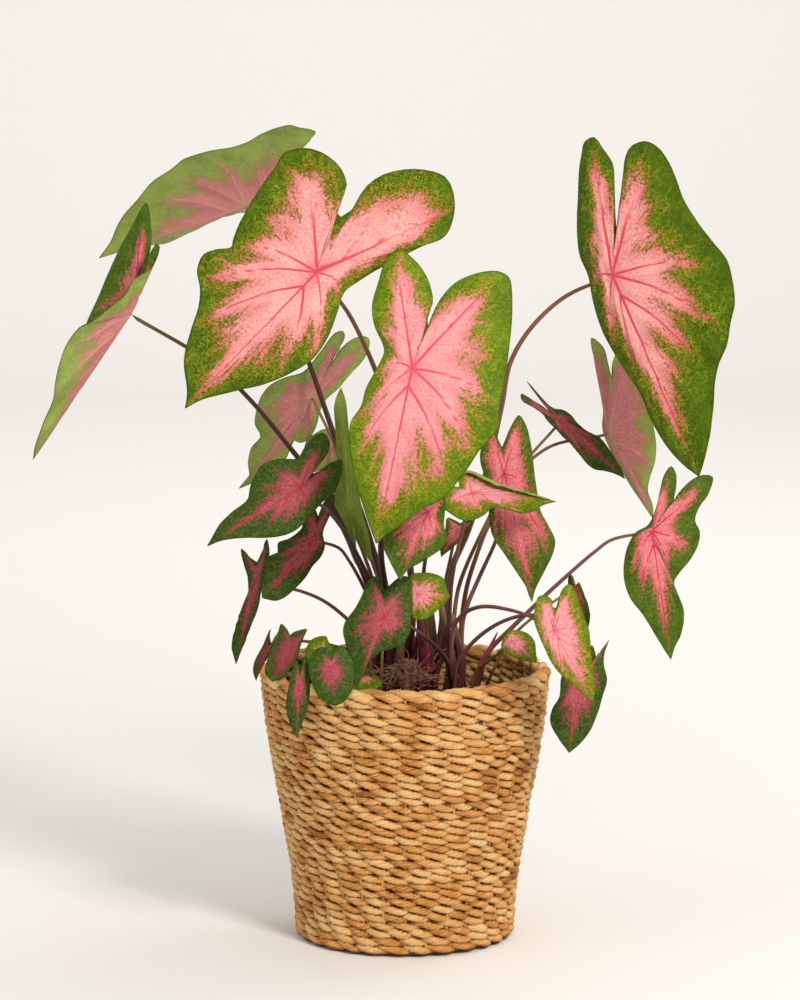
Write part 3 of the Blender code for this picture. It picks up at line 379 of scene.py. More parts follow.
def soil_height(x, y):
    """Height of the soil under a point."""
    share = min(1.0, math.hypot(x, y) / 0.07)
    return SOIL_EDGE_HEIGHT + (SOIL_MOUND_HEIGHT - SOIL_EDGE_HEIGHT) * 0.5 * (1 + math.cos(math.pi * share))


def earth_material(name, dark, light, scale, rough):
    made, nodes, links, shader = node_material(name)
    spot = nodes.new("ShaderNodeTexCoord")
    lumps = nodes.new("ShaderNodeTexNoise")
    lumps.inputs["Scale"].default_value = scale
    lumps.inputs["Detail"].default_value = 7.0
    lumps.inputs["Roughness"].default_value = 0.7
    tones = nodes.new("ShaderNodeValToRGB")
    tones.color_ramp.elements[0].position = 0.38
    tones.color_ramp.elements[0].color = (*dark, 1.0)
    tones.color_ramp.elements[1].position = 0.72
    tones.color_ramp.elements[1].color = (*light, 1.0)
    relief = nodes.new("ShaderNodeBump")
    relief.inputs["Strength"].default_value = 0.9
    relief.inputs["Distance"].default_value = 0.0012
    links.new(spot.outputs["Object"], lumps.inputs["Vector"])
    links.new(lumps.outputs["Fac"], tones.inputs["Fac"])
    links.new(tones.outputs["Color"], shader.inputs["Base Color"])
    links.new(lumps.outputs["Fac"], relief.inputs["Height"])
    links.new(relief.outputs["Normal"], shader.inputs["Normal"])
    shader.inputs["Roughness"].default_value = rough
    return made


peat = earth_material("peat", (0.010, 0.006, 0.004), (0.075, 0.042, 0.024), 260.0, 0.95)
soil_shape = bmesh.new()
bmesh.ops.create_grid(soil_shape, x_segments=110, y_segments=36, size=0.5)
for vert in soil_shape.verts:
    bearing = 2 * math.pi * (vert.co.x + 0.5)
    reach = SOIL_RADIUS * (vert.co.y + 0.5)
    across = (reach * math.cos(bearing), reach * math.sin(bearing))
    lump = noise.fractal((across[0] * 95, across[1] * 95, 0.3), 0.9, 2.1, 4) * 0.0022
    fade = min(1.0, (SOIL_RADIUS - reach) / 0.01)
    vert.co = Vector((*across, soil_height(*across) - 0.0012 + lump * fade))
close_seams(soil_shape, 1e-5)
skirt = [edge for edge in soil_shape.edges if edge.is_boundary]
drop = bmesh.ops.extrude_edge_only(soil_shape, edges=skirt)["geom"]
skirt_verts = [piece for piece in drop if isinstance(piece, bmesh.types.BMVert)]
for vert in skirt_verts:
    vert.co = Vector((vert.co.x * 0.93, vert.co.y * 0.93, SOIL_EDGE_HEIGHT - 0.03))
bmesh.ops.contextual_create(soil_shape, geom=skirt_verts)
bmesh.ops.recalc_face_normals(soil_shape, faces=soil_shape.faces)
soil = add_object("soil_mound", soil_shape, peat)
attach(soil, "root")
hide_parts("soil")

draw = random.Random(7)


def scatter(shape, count, low, high, squash, lift, keep_out=0.0):
    """Drops small lumps over the soil, each one a low block knocked out of square."""
    for _ in range(count):
        bearing = draw.uniform(0, 2 * math.pi)
        reach = (SOIL_RADIUS - 0.004) * math.sqrt(draw.uniform(keep_out, 1))
        x = reach * math.cos(bearing)
        y = reach * math.sin(bearing)
        size = draw.uniform(low, high)
        grown = bmesh.ops.create_icosphere(shape, subdivisions=1, radius=size)["verts"]
        wide = draw.uniform(0.6, 1.3)
        tall = draw.uniform(*squash)
        spin = draw.uniform(0, math.pi)
        tip = draw.uniform(-0.5, 0.5)
        lump = soil_height(x, y) + noise.fractal((x * 95, y * 95, 0.3), 0.9, 2.1, 4) * 0.0022 - 0.0012
        for vert in grown:
            knock = 1 + 0.35 * noise.noise(vert.co * (1.3 / size) + Vector((x, y, size)) * 900)
            a = vert.co.x * wide * knock
            b = vert.co.y * knock
            c = vert.co.z * tall * knock + a * tip
            vert.co = Vector((x + a * math.cos(spin) - b * math.sin(spin), y + a * math.sin(spin) + b * math.cos(spin), lump + c + size * lift))


crumbs = bmesh.new()
scatter(crumbs, 1500, 0.0006, 0.0019, (0.5, 1.0), 0.2)
crumb_piece = add_object("soil_crumbs", crumbs, earth_material("crumb", (0.012, 0.007, 0.005), (0.10, 0.055, 0.03), 420.0, 0.95))
chips = bmesh.new()
scatter(chips, 170, 0.0018, 0.0042, (0.25, 0.5), 0.3)
chip_piece = add_object("bark_chips", chips, earth_material("bark_chip", (0.035, 0.016, 0.008), (0.17, 0.085, 0.042), 300.0, 0.85))
grains = bmesh.new()
scatter(grains, 60, 0.0008, 0.0017, (0.8, 1.1), 0.5)
grain_piece = add_object("perlite_grains", grains, earth_material("perlite", (0.50, 0.47, 0.42), (0.80, 0.78, 0.74), 900.0, 0.9))
for piece in (crumb_piece, chip_piece, grain_piece):
    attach(piece, "root")

# Corm: the lumpy brown foot of the plant, half out of the soil in front of the stalks, ringed with old
# leaf scars and hairy with fine wiry roots.
CORM_CENTRE = (0.0, -0.030)
CORM_RADIUS = 0.0140
CORM_HEIGHT = 0.027
corm_skin = earth_material("corm_skin", (0.045, 0.016, 0.010), (0.26, 0.11, 0.06), 190.0, 0.8)
corm_shape = bmesh.new()
bmesh.ops.create_uvsphere(corm_shape, u_segments=64, v_segments=36, radius=1.0)
corm_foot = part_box("corm")[0][2]
for vert in corm_shape.verts:
    way = vert.co.normalized()
    ring = 0.035 * math.sin(26 * way.z + 2.0 * math.sin(2 * math.atan2(way.y, way.x)))
    lump = 0.96 + 0.26 * noise.noise(way * 2.1) + 0.12 * noise.noise(way * 6.0) + ring
    vert.co = Vector((
        CORM_CENTRE[0] + way.x * CORM_RADIUS * lump * 0.98,
        CORM_CENTRE[1] + way.y * CORM_RADIUS * lump * 0.98,
        corm_foot + CORM_HEIGHT * (0.5 + 0.5 * way.z * min(lump, 1.0)),
    ))
bmesh.ops.recalc_face_normals(corm_shape, faces=corm_shape.faces)
corm = add_object("corm_knob", corm_shape, corm_skin)
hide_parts("corm")


def fine_root(shape, start, ahead, length, thick, curl, seed):
    """One wiry root: a thin tube that wanders off along the soil."""
    path = [Vector(start)]
    way = Vector(ahead).normalized()
    count = 16
    for step in range(count):
        spot = path[-1]
        turn = noise.noise_vector(spot * curl + Vector((seed, 0, 0)))
        way = (way + turn * 0.55).normalized()
        beyond = spot + way * (length / count)
        floor = soil_height(beyond.x, beyond.y) + thick
        if beyond.z < floor:
            beyond.z = floor
        path.append(beyond)
    spots = np.array([list(spot) for spot in path])

    def place(along, turn):
        centre = [np.interp(along * count, range(count + 1), spots[:, axis]) for axis in range(3)]
        here = min(count - 1, int(along * count))
        ahead = Vector(spots[here + 1] - spots[here]).normalized()
        side = ahead.cross(Vector((0.3, 0.2, 0.93))).normalized()
        over = side.cross(ahead)
        round_about = 2 * math.pi * turn
        radius = thick * (1.0 - 0.6 * along)
        return Vector(centre) + (side * math.cos(round_about) + over * math.sin(round_about)) * radius

    rolled_sheet(shape, count, 4, place)


roots = bmesh.new()
for index in range(70):
    bearing = draw.uniform(0, 2 * math.pi)
    rise = draw.uniform(0.2, 1.0)
    edge = CORM_RADIUS * math.sqrt(max(0.1, 1 - (rise * 2 - 1) ** 2)) * 0.95
    start = (
        CORM_CENTRE[0] + edge * math.cos(bearing),
        CORM_CENTRE[1] + edge * math.sin(bearing),
        corm_foot + CORM_HEIGHT * rise * 0.9,
    )
    ahead = (math.cos(bearing), math.sin(bearing), draw.uniform(-0.2, 0.7))
    fine_root(roots, start, ahead, draw.uniform(0.014, 0.036), draw.uniform(0.00028, 0.00060), 130.0, 10.0 * index)
close_seams(roots)
root_piece = add_object("fine_roots", roots, earth_material("root_skin", (0.16, 0.06, 0.035), (0.50, 0.27, 0.16), 240.0, 0.75))
for piece in (corm, root_piece):
    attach(piece, "root")

# Leaf blades: arrow-shaped sheets, each drawn by the outline that it shows to the camera and by the plane
# that it lies in. They are as thin as paper, pressed in along the veins and wavy at the margin.
LOBE_ANGLE = 150.0
FORWARD = np.array([0.0, math.cos(EYE_PITCH), -math.sin(EYE_PITCH)])
UPWARD = np.array([0.0, math.sin(EYE_PITCH), math.cos(EYE_PITCH)])
RIGHTWARD = np.array([1.0, 0.0, 0.0])

# Each row: where the stalk meets the blade (picture x, picture y, depth in metres), the way the blade's
# upper side faces, and the margin's picture points from the tip down its right side, round the right lobe
# to the notch, round the left lobe and back to the tip. A third number is depth beyond the blade's plane.
LEAVES = [
    dict(
        number="01", joint=(317, 272, -0.1), faces=(-0.05, -0.88, 0.45), tip=(185, 409),
        right_side=[(200, 401), (219, 395), (240, 390), (264, 385), (290, 374), (312, 360),
            (328, 338), (338, 312), (345, 292), (362, 279), (385, 266), (420, 248), (446, 236)],
        right_lobe=(455, 204), notch=(341, 217), left_lobe=(310, 149),
        right_cleft=[(446, 177), (417, 169), (385, 174), (363, 190), (356, 206)],
        left_cleft=[(335, 210), (341, 199), (347, 185), (337, 164)],
        left_side=[(285, 153), (275, 168), (255, 197), (240, 222), (233, 240), (231, 248), (215, 250),
            (203, 255), (197, 270), (200, 290), (198, 308), (191, 330), (184, 360), (187, 392)],
        droop=0.03, cup=0.008,
    ),
    dict(
        number="02", joint=(412, 368, -0.145), faces=(0.0, -0.97, 0.25), tip=(376, 544),
        right_side=[(398, 527), (425, 508), (443, 498), (466, 471), (480, 450), (497, 430),
            (500, 405), (505, 380), (509, 350), (512, 320), (512, 290), (509, 277)],
        right_lobe=(497, 271), notch=(428, 327), left_lobe=(398, 249),
        right_cleft=[(475, 274), (455, 283), (441, 298), (432, 315)],
        left_cleft=[(428, 317), (433, 302), (431, 288), (426, 275), (415, 260)],
        left_side=[(385, 262), (378, 283), (372, 305), (374, 325), (384, 350), (378, 366), (366, 388),
            (361, 406), (351, 421), (349, 435), (352, 465), (360, 497), (369, 525)],
        droop=0.03, cup=0.008,
    ),
    dict(
        number="03", joint=(612, 275, -0.02), faces=(-0.45, -0.9, 0.1), tip=(699, 477),
        right_side=[(706, 455), (711, 430), (714, 400), (715, 380), (719, 365), (728, 345),
            (731, 325), (735, 303), (733, 282), (727, 260), (714, 243), (700, 225), (686, 202),
            (677, 180), (668, 160), (658, 147)],
        right_lobe=(645, 141), notch=(617, 227), left_lobe=(595, 137),
        right_cleft=[(631, 146), (625, 158), (623, 175), (621, 192), (619, 210)],
        left_cleft=[(616, 214), (616, 196), (615, 178), (613, 163), (603, 148)],
        left_side=[(585, 142), (582, 155), (579, 175), (577, 205), (577, 235), (580, 255), (588, 275),
            (593, 300), (600, 325), (612, 350), (628, 375), (641, 395), (651, 420), (665, 444),
            (685, 466)],
        droop=0.03, cup=0.01,
    ),
    dict(
        number="04", joint=(246, 205, 0.11), faces=(0.1, 0.75, 0.65), tip=(99, 258),
        right_side=[(110, 243), (116, 228), (124, 214), (137, 200), (151, 184), (170, 171),
            (184, 159), (206, 152), (234, 147), (246, 143), (263, 133), (288, 126), (300, 129)],
        right_lobe=(316, 133), notch=(268, 184), left_lobe=(264, 208, 0.03),
        right_cleft=[(308, 141), (298, 151), (283, 167)],
        left_cleft=[(268, 192, 0.01)],
        left_side=[(252, 212, 0.04), (234, 214, 0.05), (210, 219, 0.06), (189, 226, 0.06),
            (172, 240, 0.05), (160, 244, 0.04), (135, 246, 0.02)],
        droop=0.02, cup=0.0,
    ),
    dict(
        number="05", joint=(131, 314, 0.02), faces=(-0.2, 0.97, 0.1), tip=(33, 459),
        right_side=[(35, 446, -0.01), (43, 424, -0.015), (53, 400, -0.02), (55, 385, -0.02),
            (59, 365, -0.02), (66, 346, -0.02), (79, 328, -0.02), (92, 321, -0.02), (112, 305, -0.02),
            (125, 294, -0.015), (132, 281, -0.01), (140, 275, -0.01), (151, 268, -0.01)],
        right_lobe=(160, 247, -0.01), notch=(137, 284), left_lobe=(147, 203, 0.024),
        right_cleft=[(156, 244, -0.01), (145, 262, -0.005)],
        left_cleft=[(151, 245, 0.018), (151, 222, 0.024)],
        left_side=[(140, 211, 0.026), (131, 228, 0.028), (121, 246, 0.028), (109, 272, 0.026),
            (98, 298, 0.022), (84, 330, 0.016), (69, 380, 0.008), (51, 427)],
        droop=0.0, cup=0.0,
    ),
    dict(
        number="06", joint=(301, 487, -0.09), faces=(0.05, -0.85, 0.5), tip=(207, 546),
        right_side=[(222, 541), (242, 538), (262, 538), (285, 535), (298, 529), (310, 516),
            (322, 503), (334, 493), (340, 480)],
        right_lobe=(342, 461), notch=(312, 474), left_lobe=(323, 433),
        right_cleft=[(330, 463), (320, 470)],
        left_cleft=[(320, 464), (328, 453), (330, 442)],
        left_side=[(313, 437), (304, 448), (298, 458), (288, 459), (275, 460), (262, 465), (255, 475),
            (250, 487), (247, 500), (232, 512), (220, 524), (212, 537)],
        droop=0.02, cup=0.006,
    ),
    dict(
        number="07", joint=(312, 397, 0.1), faces=(-0.2, 0.9, 0.3), tip=(239, 489),
        right_side=[(249, 478), (248, 463), (252, 447), (260, 438), (260, 434), (255, 425),
            (257, 408), (262, 395), (270, 385), (285, 378), (303, 372), (320, 352), (334, 334)],
        right_lobe=(343, 331), notch=(331, 364), left_lobe=(369, 338),
        right_cleft=[(345, 337), (340, 347)],
        left_cleft=[(337, 354), (347, 343), (358, 337)],
        left_side=[(369, 348), (362, 362), (350, 376), (337, 390), (326, 400), (320, 412), (316, 428),
            (308, 440), (300, 443), (294, 441), (290, 450), (284, 462), (265, 476)],
        droop=0.01, cup=0.004,
    ),
    dict(
        number="08", joint=(333, 445, 0.11), faces=(-0.1, 0.9, 0.3), tip=(298, 474),
        right_side=[(303, 455), (307, 440)],
        right_lobe=(324, 429), notch=(337, 438), left_lobe=(344, 456),
        right_cleft=[(331, 430)],
        left_cleft=[(342, 444)],
        left_side=[(335, 465), (320, 470), (308, 474)],
        droop=0.005, cup=0.002,
    ),
    dict(
        number="09", joint=(349, 505, 0.0), faces=(-0.3, -0.9, 0.1), tip=(341, 387),
        right_side=[(335, 402), (336, 420), (336, 440), (338, 462), (340, 476), (334, 492),
            (337, 512), (346, 540)],
        right_lobe=(357, 566), notch=(355, 530), left_lobe=(371, 562),
        right_cleft=[(356, 550)],
        left_cleft=[(362, 545)],
        left_side=[(370, 545), (364, 520), (358, 492), (353, 465), (349, 440), (346, 405)],
        droop=0.0, cup=-0.006,
    ),
    dict(
        number="10", joint=(316, 537, -0.03), faces=(0.1, -0.85, 0.5), tip=(262, 598),
        right_side=[(275, 601), (284, 598), (296, 588), (306, 577), (313, 566), (321, 557),
            (325, 546), (323, 533), (328, 520), (334, 507)],
        right_lobe=(334, 494), notch=(318, 516), left_lobe=(305, 500),
        right_cleft=[(325, 500)],
        left_cleft=[(313, 505)],
        left_side=[(299, 515), (302, 527), (290, 538), (278, 543), (277, 554), (267, 557), (264, 570),
            (261, 587)],
        droop=0.012, cup=0.004,
    ),
    dict(
        number="11", joint=(257, 572, 0.01), faces=(-0.5, -0.8, 0.2), tip=(236, 664),
        right_side=[(240, 655), (250, 628), (258, 607), (261, 590), (264, 575), (269, 556)],
        right_lobe=(267, 539), notch=(257, 562), left_lobe=(241, 549),
        right_cleft=[(263, 550)],
        left_cleft=[(252, 559)],
        left_side=[(244, 565), (248, 580), (248, 596), (242, 610), (236, 627), (232, 645)],
        droop=0.01, cup=0.0,
    ),
    dict(
        number="12", joint=(385, 618, -0.1), faces=(0.0, -0.9, 0.4), tip=(356, 690),
        right_side=[(360, 682), (366, 668), (372, 658), (380, 652), (392, 649), (403, 643),
            (410, 633), (411, 620), (412, 600)],
        right_lobe=(408, 577), notch=(383, 592), left_lobe=(374, 576),
        right_cleft=[(400, 577), (392, 583)],
        left_cleft=[(381, 584)],
        left_side=[(366, 584), (362, 595), (355, 608), (345, 622), (343, 632), (346, 645), (351, 660),
            (354, 678)],
        droop=0.012, cup=0.006,
    ),
    dict(
        number="13", joint=(428, 512, -0.092), faces=(0.2, -0.85, 0.5), tip=(400, 581),
        right_side=[(407, 571), (420, 563), (433, 555), (443, 547), (447, 537), (444, 526), (445, 512)],
        right_lobe=(445, 498), notch=(429, 496), left_lobe=(408, 488),
        right_cleft=[(438, 492)],
        left_cleft=[(420, 487)],
        left_side=[(396, 502), (388, 522), (383, 545), (390, 562)],
        droop=0.012, cup=0.004,
    ),
    dict(
        number="14", joint=(417, 594, -0.068), faces=(0.1, -0.7, 0.7), tip=(450, 596),
        right_side=[(447, 588), (443, 578), (430, 573)],
        right_lobe=(412, 574), notch=(408, 590), left_lobe=(413, 618),
        right_cleft=[(409, 580)],
        left_cleft=[(408, 600)],
        left_side=[(426, 619), (437, 611), (446, 603)],
        droop=0.01, cup=0.006,
    ),
    dict(
        number="15", joint=(504, 473, -0.025), faces=(0.15, -0.95, 0.2), tip=(532, 603),
        right_side=[(536, 588), (545, 570), (553, 553), (555, 540), (548, 525), (541, 512),
            (538, 497), (535, 478), (533, 460), (531, 445), (527, 427)],
        right_lobe=(519, 415), notch=(502, 447), left_lobe=(491, 428),
        right_cleft=[(512, 424), (507, 435)],
        left_cleft=[(499, 441)],
        left_side=[(483, 440), (480, 460), (486, 482), (489, 500), (489, 520), (493, 537), (505, 555),
            (517, 573), (526, 587)],
        droop=0.012, cup=0.005,
    ),
    dict(
        number="16", joint=(472, 493, -0.056), faces=(0.1, -0.75, 0.65), tip=(556, 501),
        right_side=[(540, 497), (520, 491), (500, 485), (482, 476)],
        right_lobe=(466, 471), notch=(459, 487), left_lobe=(438, 503),
        right_cleft=[(460, 478)],
        left_cleft=[(450, 487)],
        left_side=[(448, 512), (460, 519), (473, 520), (484, 515), (492, 508), (502, 508), (513, 511),
            (523, 513), (533, 511), (543, 505)],
        droop=0.0, cup=0.0,
    ),
    dict(
        number="17", joint=(560, 421, 0.075), faces=(0.3, -0.75, 0.6), tip=(625, 479),
        right_side=[(618, 463), (610, 450), (600, 438), (587, 431), (578, 424), (571, 415),
            (562, 410), (553, 408), (544, 400)],
        right_lobe=(527, 381), notch=(549, 411), left_lobe=(521, 394),
        right_cleft=[(536, 395)],
        left_cleft=[(539, 404)],
        left_side=[(522, 401), (531, 406), (541, 413), (549, 423), (560, 434), (571, 445), (580, 456),
            (594, 469), (606, 471), (616, 474)],
        droop=0.008, cup=0.003,
    ),
    dict(
        number="18", joint=(609, 433, 0.1), faces=(0.3, 0.9, 0.1), tip=(653, 518),
        right_side=[(643, 503, 0.005), (631, 485, 0.01), (619, 465, 0.012), (610, 448, 0.012),
            (603, 430, 0.01), (603, 408, 0.01), (600, 385, 0.01), (596, 362, 0.008)],
        right_lobe=(591, 338, 0.008), notch=(612, 378), left_lobe=(630, 330),
        right_cleft=[(603, 347, 0.006), (608, 363)],
        left_cleft=[(613, 360)],
        left_side=[(647, 350), (655, 385), (653, 420), (656, 445), (655, 462), (650, 478), (648, 490),
            (653, 507)],
        droop=0.005, cup=0.004,
    ),
    dict(
        number="19", joint=(652, 531, -0.05), faces=(0.1, -0.97, 0.2), tip=(671, 660),
        right_side=[(675, 647), (681, 635), (684, 620), (683, 607), (678, 595), (674, 583),
            (680, 572), (690, 560), (698, 545), (700, 532), (695, 520), (700, 506), (708, 495)],
        right_lobe=(713, 477), notch=(673, 501), left_lobe=(671, 466),
        right_cleft=[(702, 475), (690, 481), (680, 491)],
        left_cleft=[(676, 488), (676, 474)],
        left_side=[(664, 475), (660, 490), (655, 510), (648, 525), (636, 532), (628, 545), (624, 560),
            (624, 580), (630, 598), (643, 615), (655, 635), (665, 651)],
        droop=0.018, cup=0.006,
    ),
    dict(
        number="20", joint=(554, 630, -0.12), faces=(0.2, -0.95, 0.2), tip=(593, 703),
        right_side=[(595, 690), (593, 670), (591, 650), (589, 630), (585, 619), (580, 605), (576, 592)],
        right_lobe=(570, 584), notch=(556, 608), left_lobe=(545, 595),
        right_cleft=[(563, 588), (559, 597)],
        left_cleft=[(552, 606), (552, 600)],
        left_side=[(538, 597), (535, 607), (534, 620), (537, 631), (543, 645), (551, 662), (560, 674),
            (573, 684), (584, 694)],
        droop=0.012, cup=0.004,
    ),
    dict(
        number="21", joint=(582, 678, -0.07), faces=(0.2, -0.95, 0.2), tip=(569, 753),
        right_side=[(580, 744), (590, 731), (597, 715), (603, 695), (607, 680), (604, 664), (605, 652)],
        right_lobe=(609, 640), notch=(596, 657), left_lobe=(592, 645),
        right_cleft=[(601, 651)],
        left_cleft=[(595, 651)],
        left_side=[(589, 650), (583, 660), (568, 665), (561, 678), (559, 697), (552, 709), (550, 722),
            (558, 738)],
        droop=0.01, cup=0.004,
    ),
    dict(
        number="22", joint=(511, 641, -0.055), faces=(0.2, -0.8, 0.5), tip=(537, 663),
        right_side=[(536, 653), (535, 643), (530, 635), (522, 631)],
        right_lobe=(512, 630), notch=(505, 636), left_lobe=(501, 646),
        right_cleft=[(508, 632)],
        left_cleft=[(503, 639)],
        left_side=[(504, 652), (513, 657), (525, 661)],
        droop=0.005, cup=0.002,
    ),
    dict(
        number="23", joint=(293, 648, -0.09), faces=(0.1, -0.8, 0.5), tip=(272, 682),
        right_side=[(282, 679), (291, 668), (298, 656), (301, 645), (304, 637)],
        right_lobe=(307, 629), notch=(290, 635), left_lobe=(281, 624),
        right_cleft=[(300, 630), (294, 632)],
        left_cleft=[(287, 629)],
        left_side=[(277, 636), (271, 648), (267, 660), (265, 673)],
        droop=0.008, cup=0.003,
    ),
    dict(
        number="24", joint=(267, 652, -0.065), faces=(-0.4, -0.85, 0.3), tip=(256, 681),
        right_side=[(261, 670), (267, 659), (272, 650)],
        right_lobe=(281, 627), notch=(271, 643), left_lobe=(270, 629),
        right_cleft=[(276, 637)],
        left_cleft=[(270, 636)],
        left_side=[(262, 647), (255, 660), (253, 671)],
        droop=0.004, cup=0.002,
    ),
    dict(
        number="25", joint=(299, 684, -0.13), faces=(0.0, -1, 0.1), tip=(297, 738),
        right_side=[(302, 724), (308, 708), (310, 690), (309, 670)],
        right_lobe=(306, 655), notch=(301, 668), left_lobe=(296, 660),
        right_cleft=[(303, 660)],
        left_cleft=[(299, 664)],
        left_side=[(291, 675), (288, 690), (286, 706), (290, 724)],
        droop=0.003, cup=0.003,
    ),
    dict(
        number="26", joint=(330, 667, -0.135), faces=(0.0, -0.95, 0.3), tip=(336, 706),
        right_side=[(345, 701), (352, 690), (355, 674), (350, 655)],
        right_lobe=(341, 645), notch=(332, 651), left_lobe=(320, 647),
        right_cleft=[(337, 647)],
        left_cleft=[(328, 648)],
        left_side=[(311, 655), (308, 665), (311, 680), (316, 693), (326, 703)],
        droop=0.004, cup=0.003,
    ),
    dict(
        number="27", joint=(458, 530, 0.015), faces=(0.2, -0.8, 0.5), tip=(441, 557),
        right_side=[(450, 550), (460, 541), (468, 531)],
        right_lobe=(474, 520), notch=(460, 523), left_lobe=(447, 518),
        right_cleft=[(466, 521)],
        left_cleft=[(455, 520)],
        left_side=[(445, 530), (440, 545)],
        droop=0.004, cup=0.002,
    ),
]


def sight_line(px, py):
    """Direction from the eye through a point of the picture."""
    across = (px - EYE_CENTRE[0]) / EYE_FOCAL
    down = (py - EYE_CENTRE[1]) / EYE_FOCAL
    return FORWARD + RIGHTWARD * across - UPWARD * down


def seen(px, py, depth):
    """The point on that sight line whose Y is depth."""
    direction = sight_line(px, py)
    return EYE + direction * ((depth - EYE[1]) / direction[1])


JOINTS = {row["number"]: seen(*row["joint"]) for row in LEAVES}

# Leaf stalks: round fleshy stems that rise from the corm between short sheaths, magenta and brown at the
# foot and olive towards the blade, faintly ribbed along their length.
STALK_AROUND = 12
STALK_ALONG = 56
SHEATH_SHARE = 0.16
SHEATH_SWELL = 0.55
ROUTE_STEPS = 40


def along_curve(points, share):
    """The point at this share of the length of a smooth curve through the points."""
    spots = np.array(points, float)
    flat = spots[:, :2] if np.abs(spots[:, :2]).max() > 5 else spots
    chord = np.concatenate([[0.0], np.cumsum(np.linalg.norm(np.diff(flat, axis=0), axis=1))])
    wanted = share * chord[-1]
    last = len(spots) - 1
    index = min(int(np.searchsorted(chord, wanted, side="right")) - 1, last - 1)
    span = chord[index + 1] - chord[index]
    u = (wanted - chord[index]) / span

    def slope(k):
        before = max(k - 1, 0)
        after = min(k + 1, last)
        return (spots[after] - spots[before]) / (chord[after] - chord[before])

    start = slope(index) * span
    end = slope(index + 1) * span
    return (
        (2 * u**3 - 3 * u**2 + 1) * spots[index]
        + (u**3 - 2 * u**2 + u) * start
        + (3 * u**2 - 2 * u**3) * spots[index + 1]
        + (u**3 - u**2) * end
    )


def packed_route(node):
    """Centre line and radii of a packed stalk: its rings of corners, walked from the foot upwards."""
    shape = bmesh.new()
    shape.from_mesh(bpy.data.objects[node].data)
    bmesh.ops.remove_doubles(shape, verts=shape.verts, dist=1e-6)
    lowest = min(vert.co.z for vert in shape.verts)
    ring = {vert for vert in shape.verts if vert.co.z < lowest + 1e-5}
    seen_verts = set()
    centres = []
    radii = []
    while ring:
        seen_verts |= ring
        centre = sum((vert.co for vert in ring), Vector()) / len(ring)
        centres.append(list(centre))
        radii.append(sum((vert.co - centre).length for vert in ring) / len(ring))
        ring = {edge.other_vert(vert) for vert in ring for edge in vert.link_edges} - seen_verts
    shape.free()
    return np.array(centres), np.array(radii)


def stem_tube(shape, centres, radii, around, along, sheath=0.0):
    """A round stem along a smooth line through the centres, its two ends drawn in to a point."""
    shares = np.linspace(0, 1, len(radii))
    spots = [along_curve(centres, step / along) for step in range(along + 1)]
    frames = []
    side = np.array([1.0, 0.0, 0.0])
    for index in range(along + 1):
        ahead = spots[min(index + 1, along)] - spots[max(index - 1, 0)]
        ahead /= np.linalg.norm(ahead)
        side = side - ahead * (side @ ahead)
        side /= np.linalg.norm(side)
        frames.append((side, np.cross(ahead, side)))

    def place(share, turn):
        index = round(share * along)
        angle = 2 * math.pi * turn
        radius = float(np.interp(share, shares, radii))
        swell = max(0.0, 1 - share / SHEATH_SHARE)
        lap = 0.5 + 0.5 * math.cos(angle + radii[0] * 9000)
        radius *= 1 + sheath * swell**1.5 * (0.4 + 0.6 * lap)
        radius *= 1 + 0.035 * math.cos(5 * angle + 40 * share)
        out, over = frames[index]
        if index in (0, along):
            radius = 0.0
        return Vector(spots[index] + radius * (math.cos(angle) * out + math.sin(angle) * over))

    ways = rolled_sheet(shape, along, around, place)
    add_uv(shape, ways)


def stalk_material(name, foot, middle, top):
    """Stalk skin: three tones from foot to blade, thin darker stripes along it and a dull waxy shine."""
    made, nodes, links, shader = node_material(name)
    flow = nodes.new("ShaderNodeUVMap")
    flow.uv_map = "flow"
    parts = nodes.new("ShaderNodeSeparateXYZ")
    links.new(flow.outputs["UV"], parts.inputs["Vector"])
    tones = nodes.new("ShaderNodeValToRGB")
    ramp = tones.color_ramp
    ramp.elements[0].position = 0.0
    ramp.elements[0].color = (*foot, 1.0)
    ramp.elements[1].position = 1.0
    ramp.elements[1].color = (*top, 1.0)
    for position, colour in ((0.22, middle), (0.62, middle)):
        ramp.elements.new(position).color = (*colour, 1.0)
    links.new(parts.outputs["X"], tones.inputs["Fac"])
    stretch = nodes.new("ShaderNodeMapping")
    stretch.inputs["Scale"].default_value = (5.0, 16.0, 1.0)
    stripes = nodes.new("ShaderNodeTexNoise")
    stripes.inputs["Scale"].default_value = 1.0
    stripes.inputs["Detail"].default_value = 5.0
    links.new(flow.outputs["UV"], stretch.inputs["Vector"])
    links.new(stretch.outputs["Vector"], stripes.inputs["Vector"])
    mottle = nodes.new("ShaderNodeMapRange")
    mottle.inputs["From Min"].default_value = 0.35
    mottle.inputs["From Max"].default_value = 0.68
    links.new(stripes.outputs["Fac"], mottle.inputs["Value"])
    shade = nodes.new("ShaderNodeMix")
    shade.data_type = "RGBA"
    shade.blend_type = "MULTIPLY"
    shade.inputs["B"].default_value = (0.45, 0.34, 0.33, 1.0)
    links.new(mottle.outputs["Result"], shade.inputs["Factor"])
    links.new(tones.outputs["Color"], shade.inputs["A"])
    links.new(shade.outputs["Result"], shader.inputs["Base Color"])
    shader.inputs["Roughness"].default_value = 0.38
    shader.inputs["Specular IOR Level"].default_value = 0.20
    relief = nodes.new("ShaderNodeBump")
    relief.inputs["Strength"].default_value = 0.3
    relief.inputs["Distance"].default_value = 0.0004
    links.new(stripes.outputs["Fac"], relief.inputs["Height"])
    links.new(relief.outputs["Normal"], shader.inputs["Normal"])
    return made


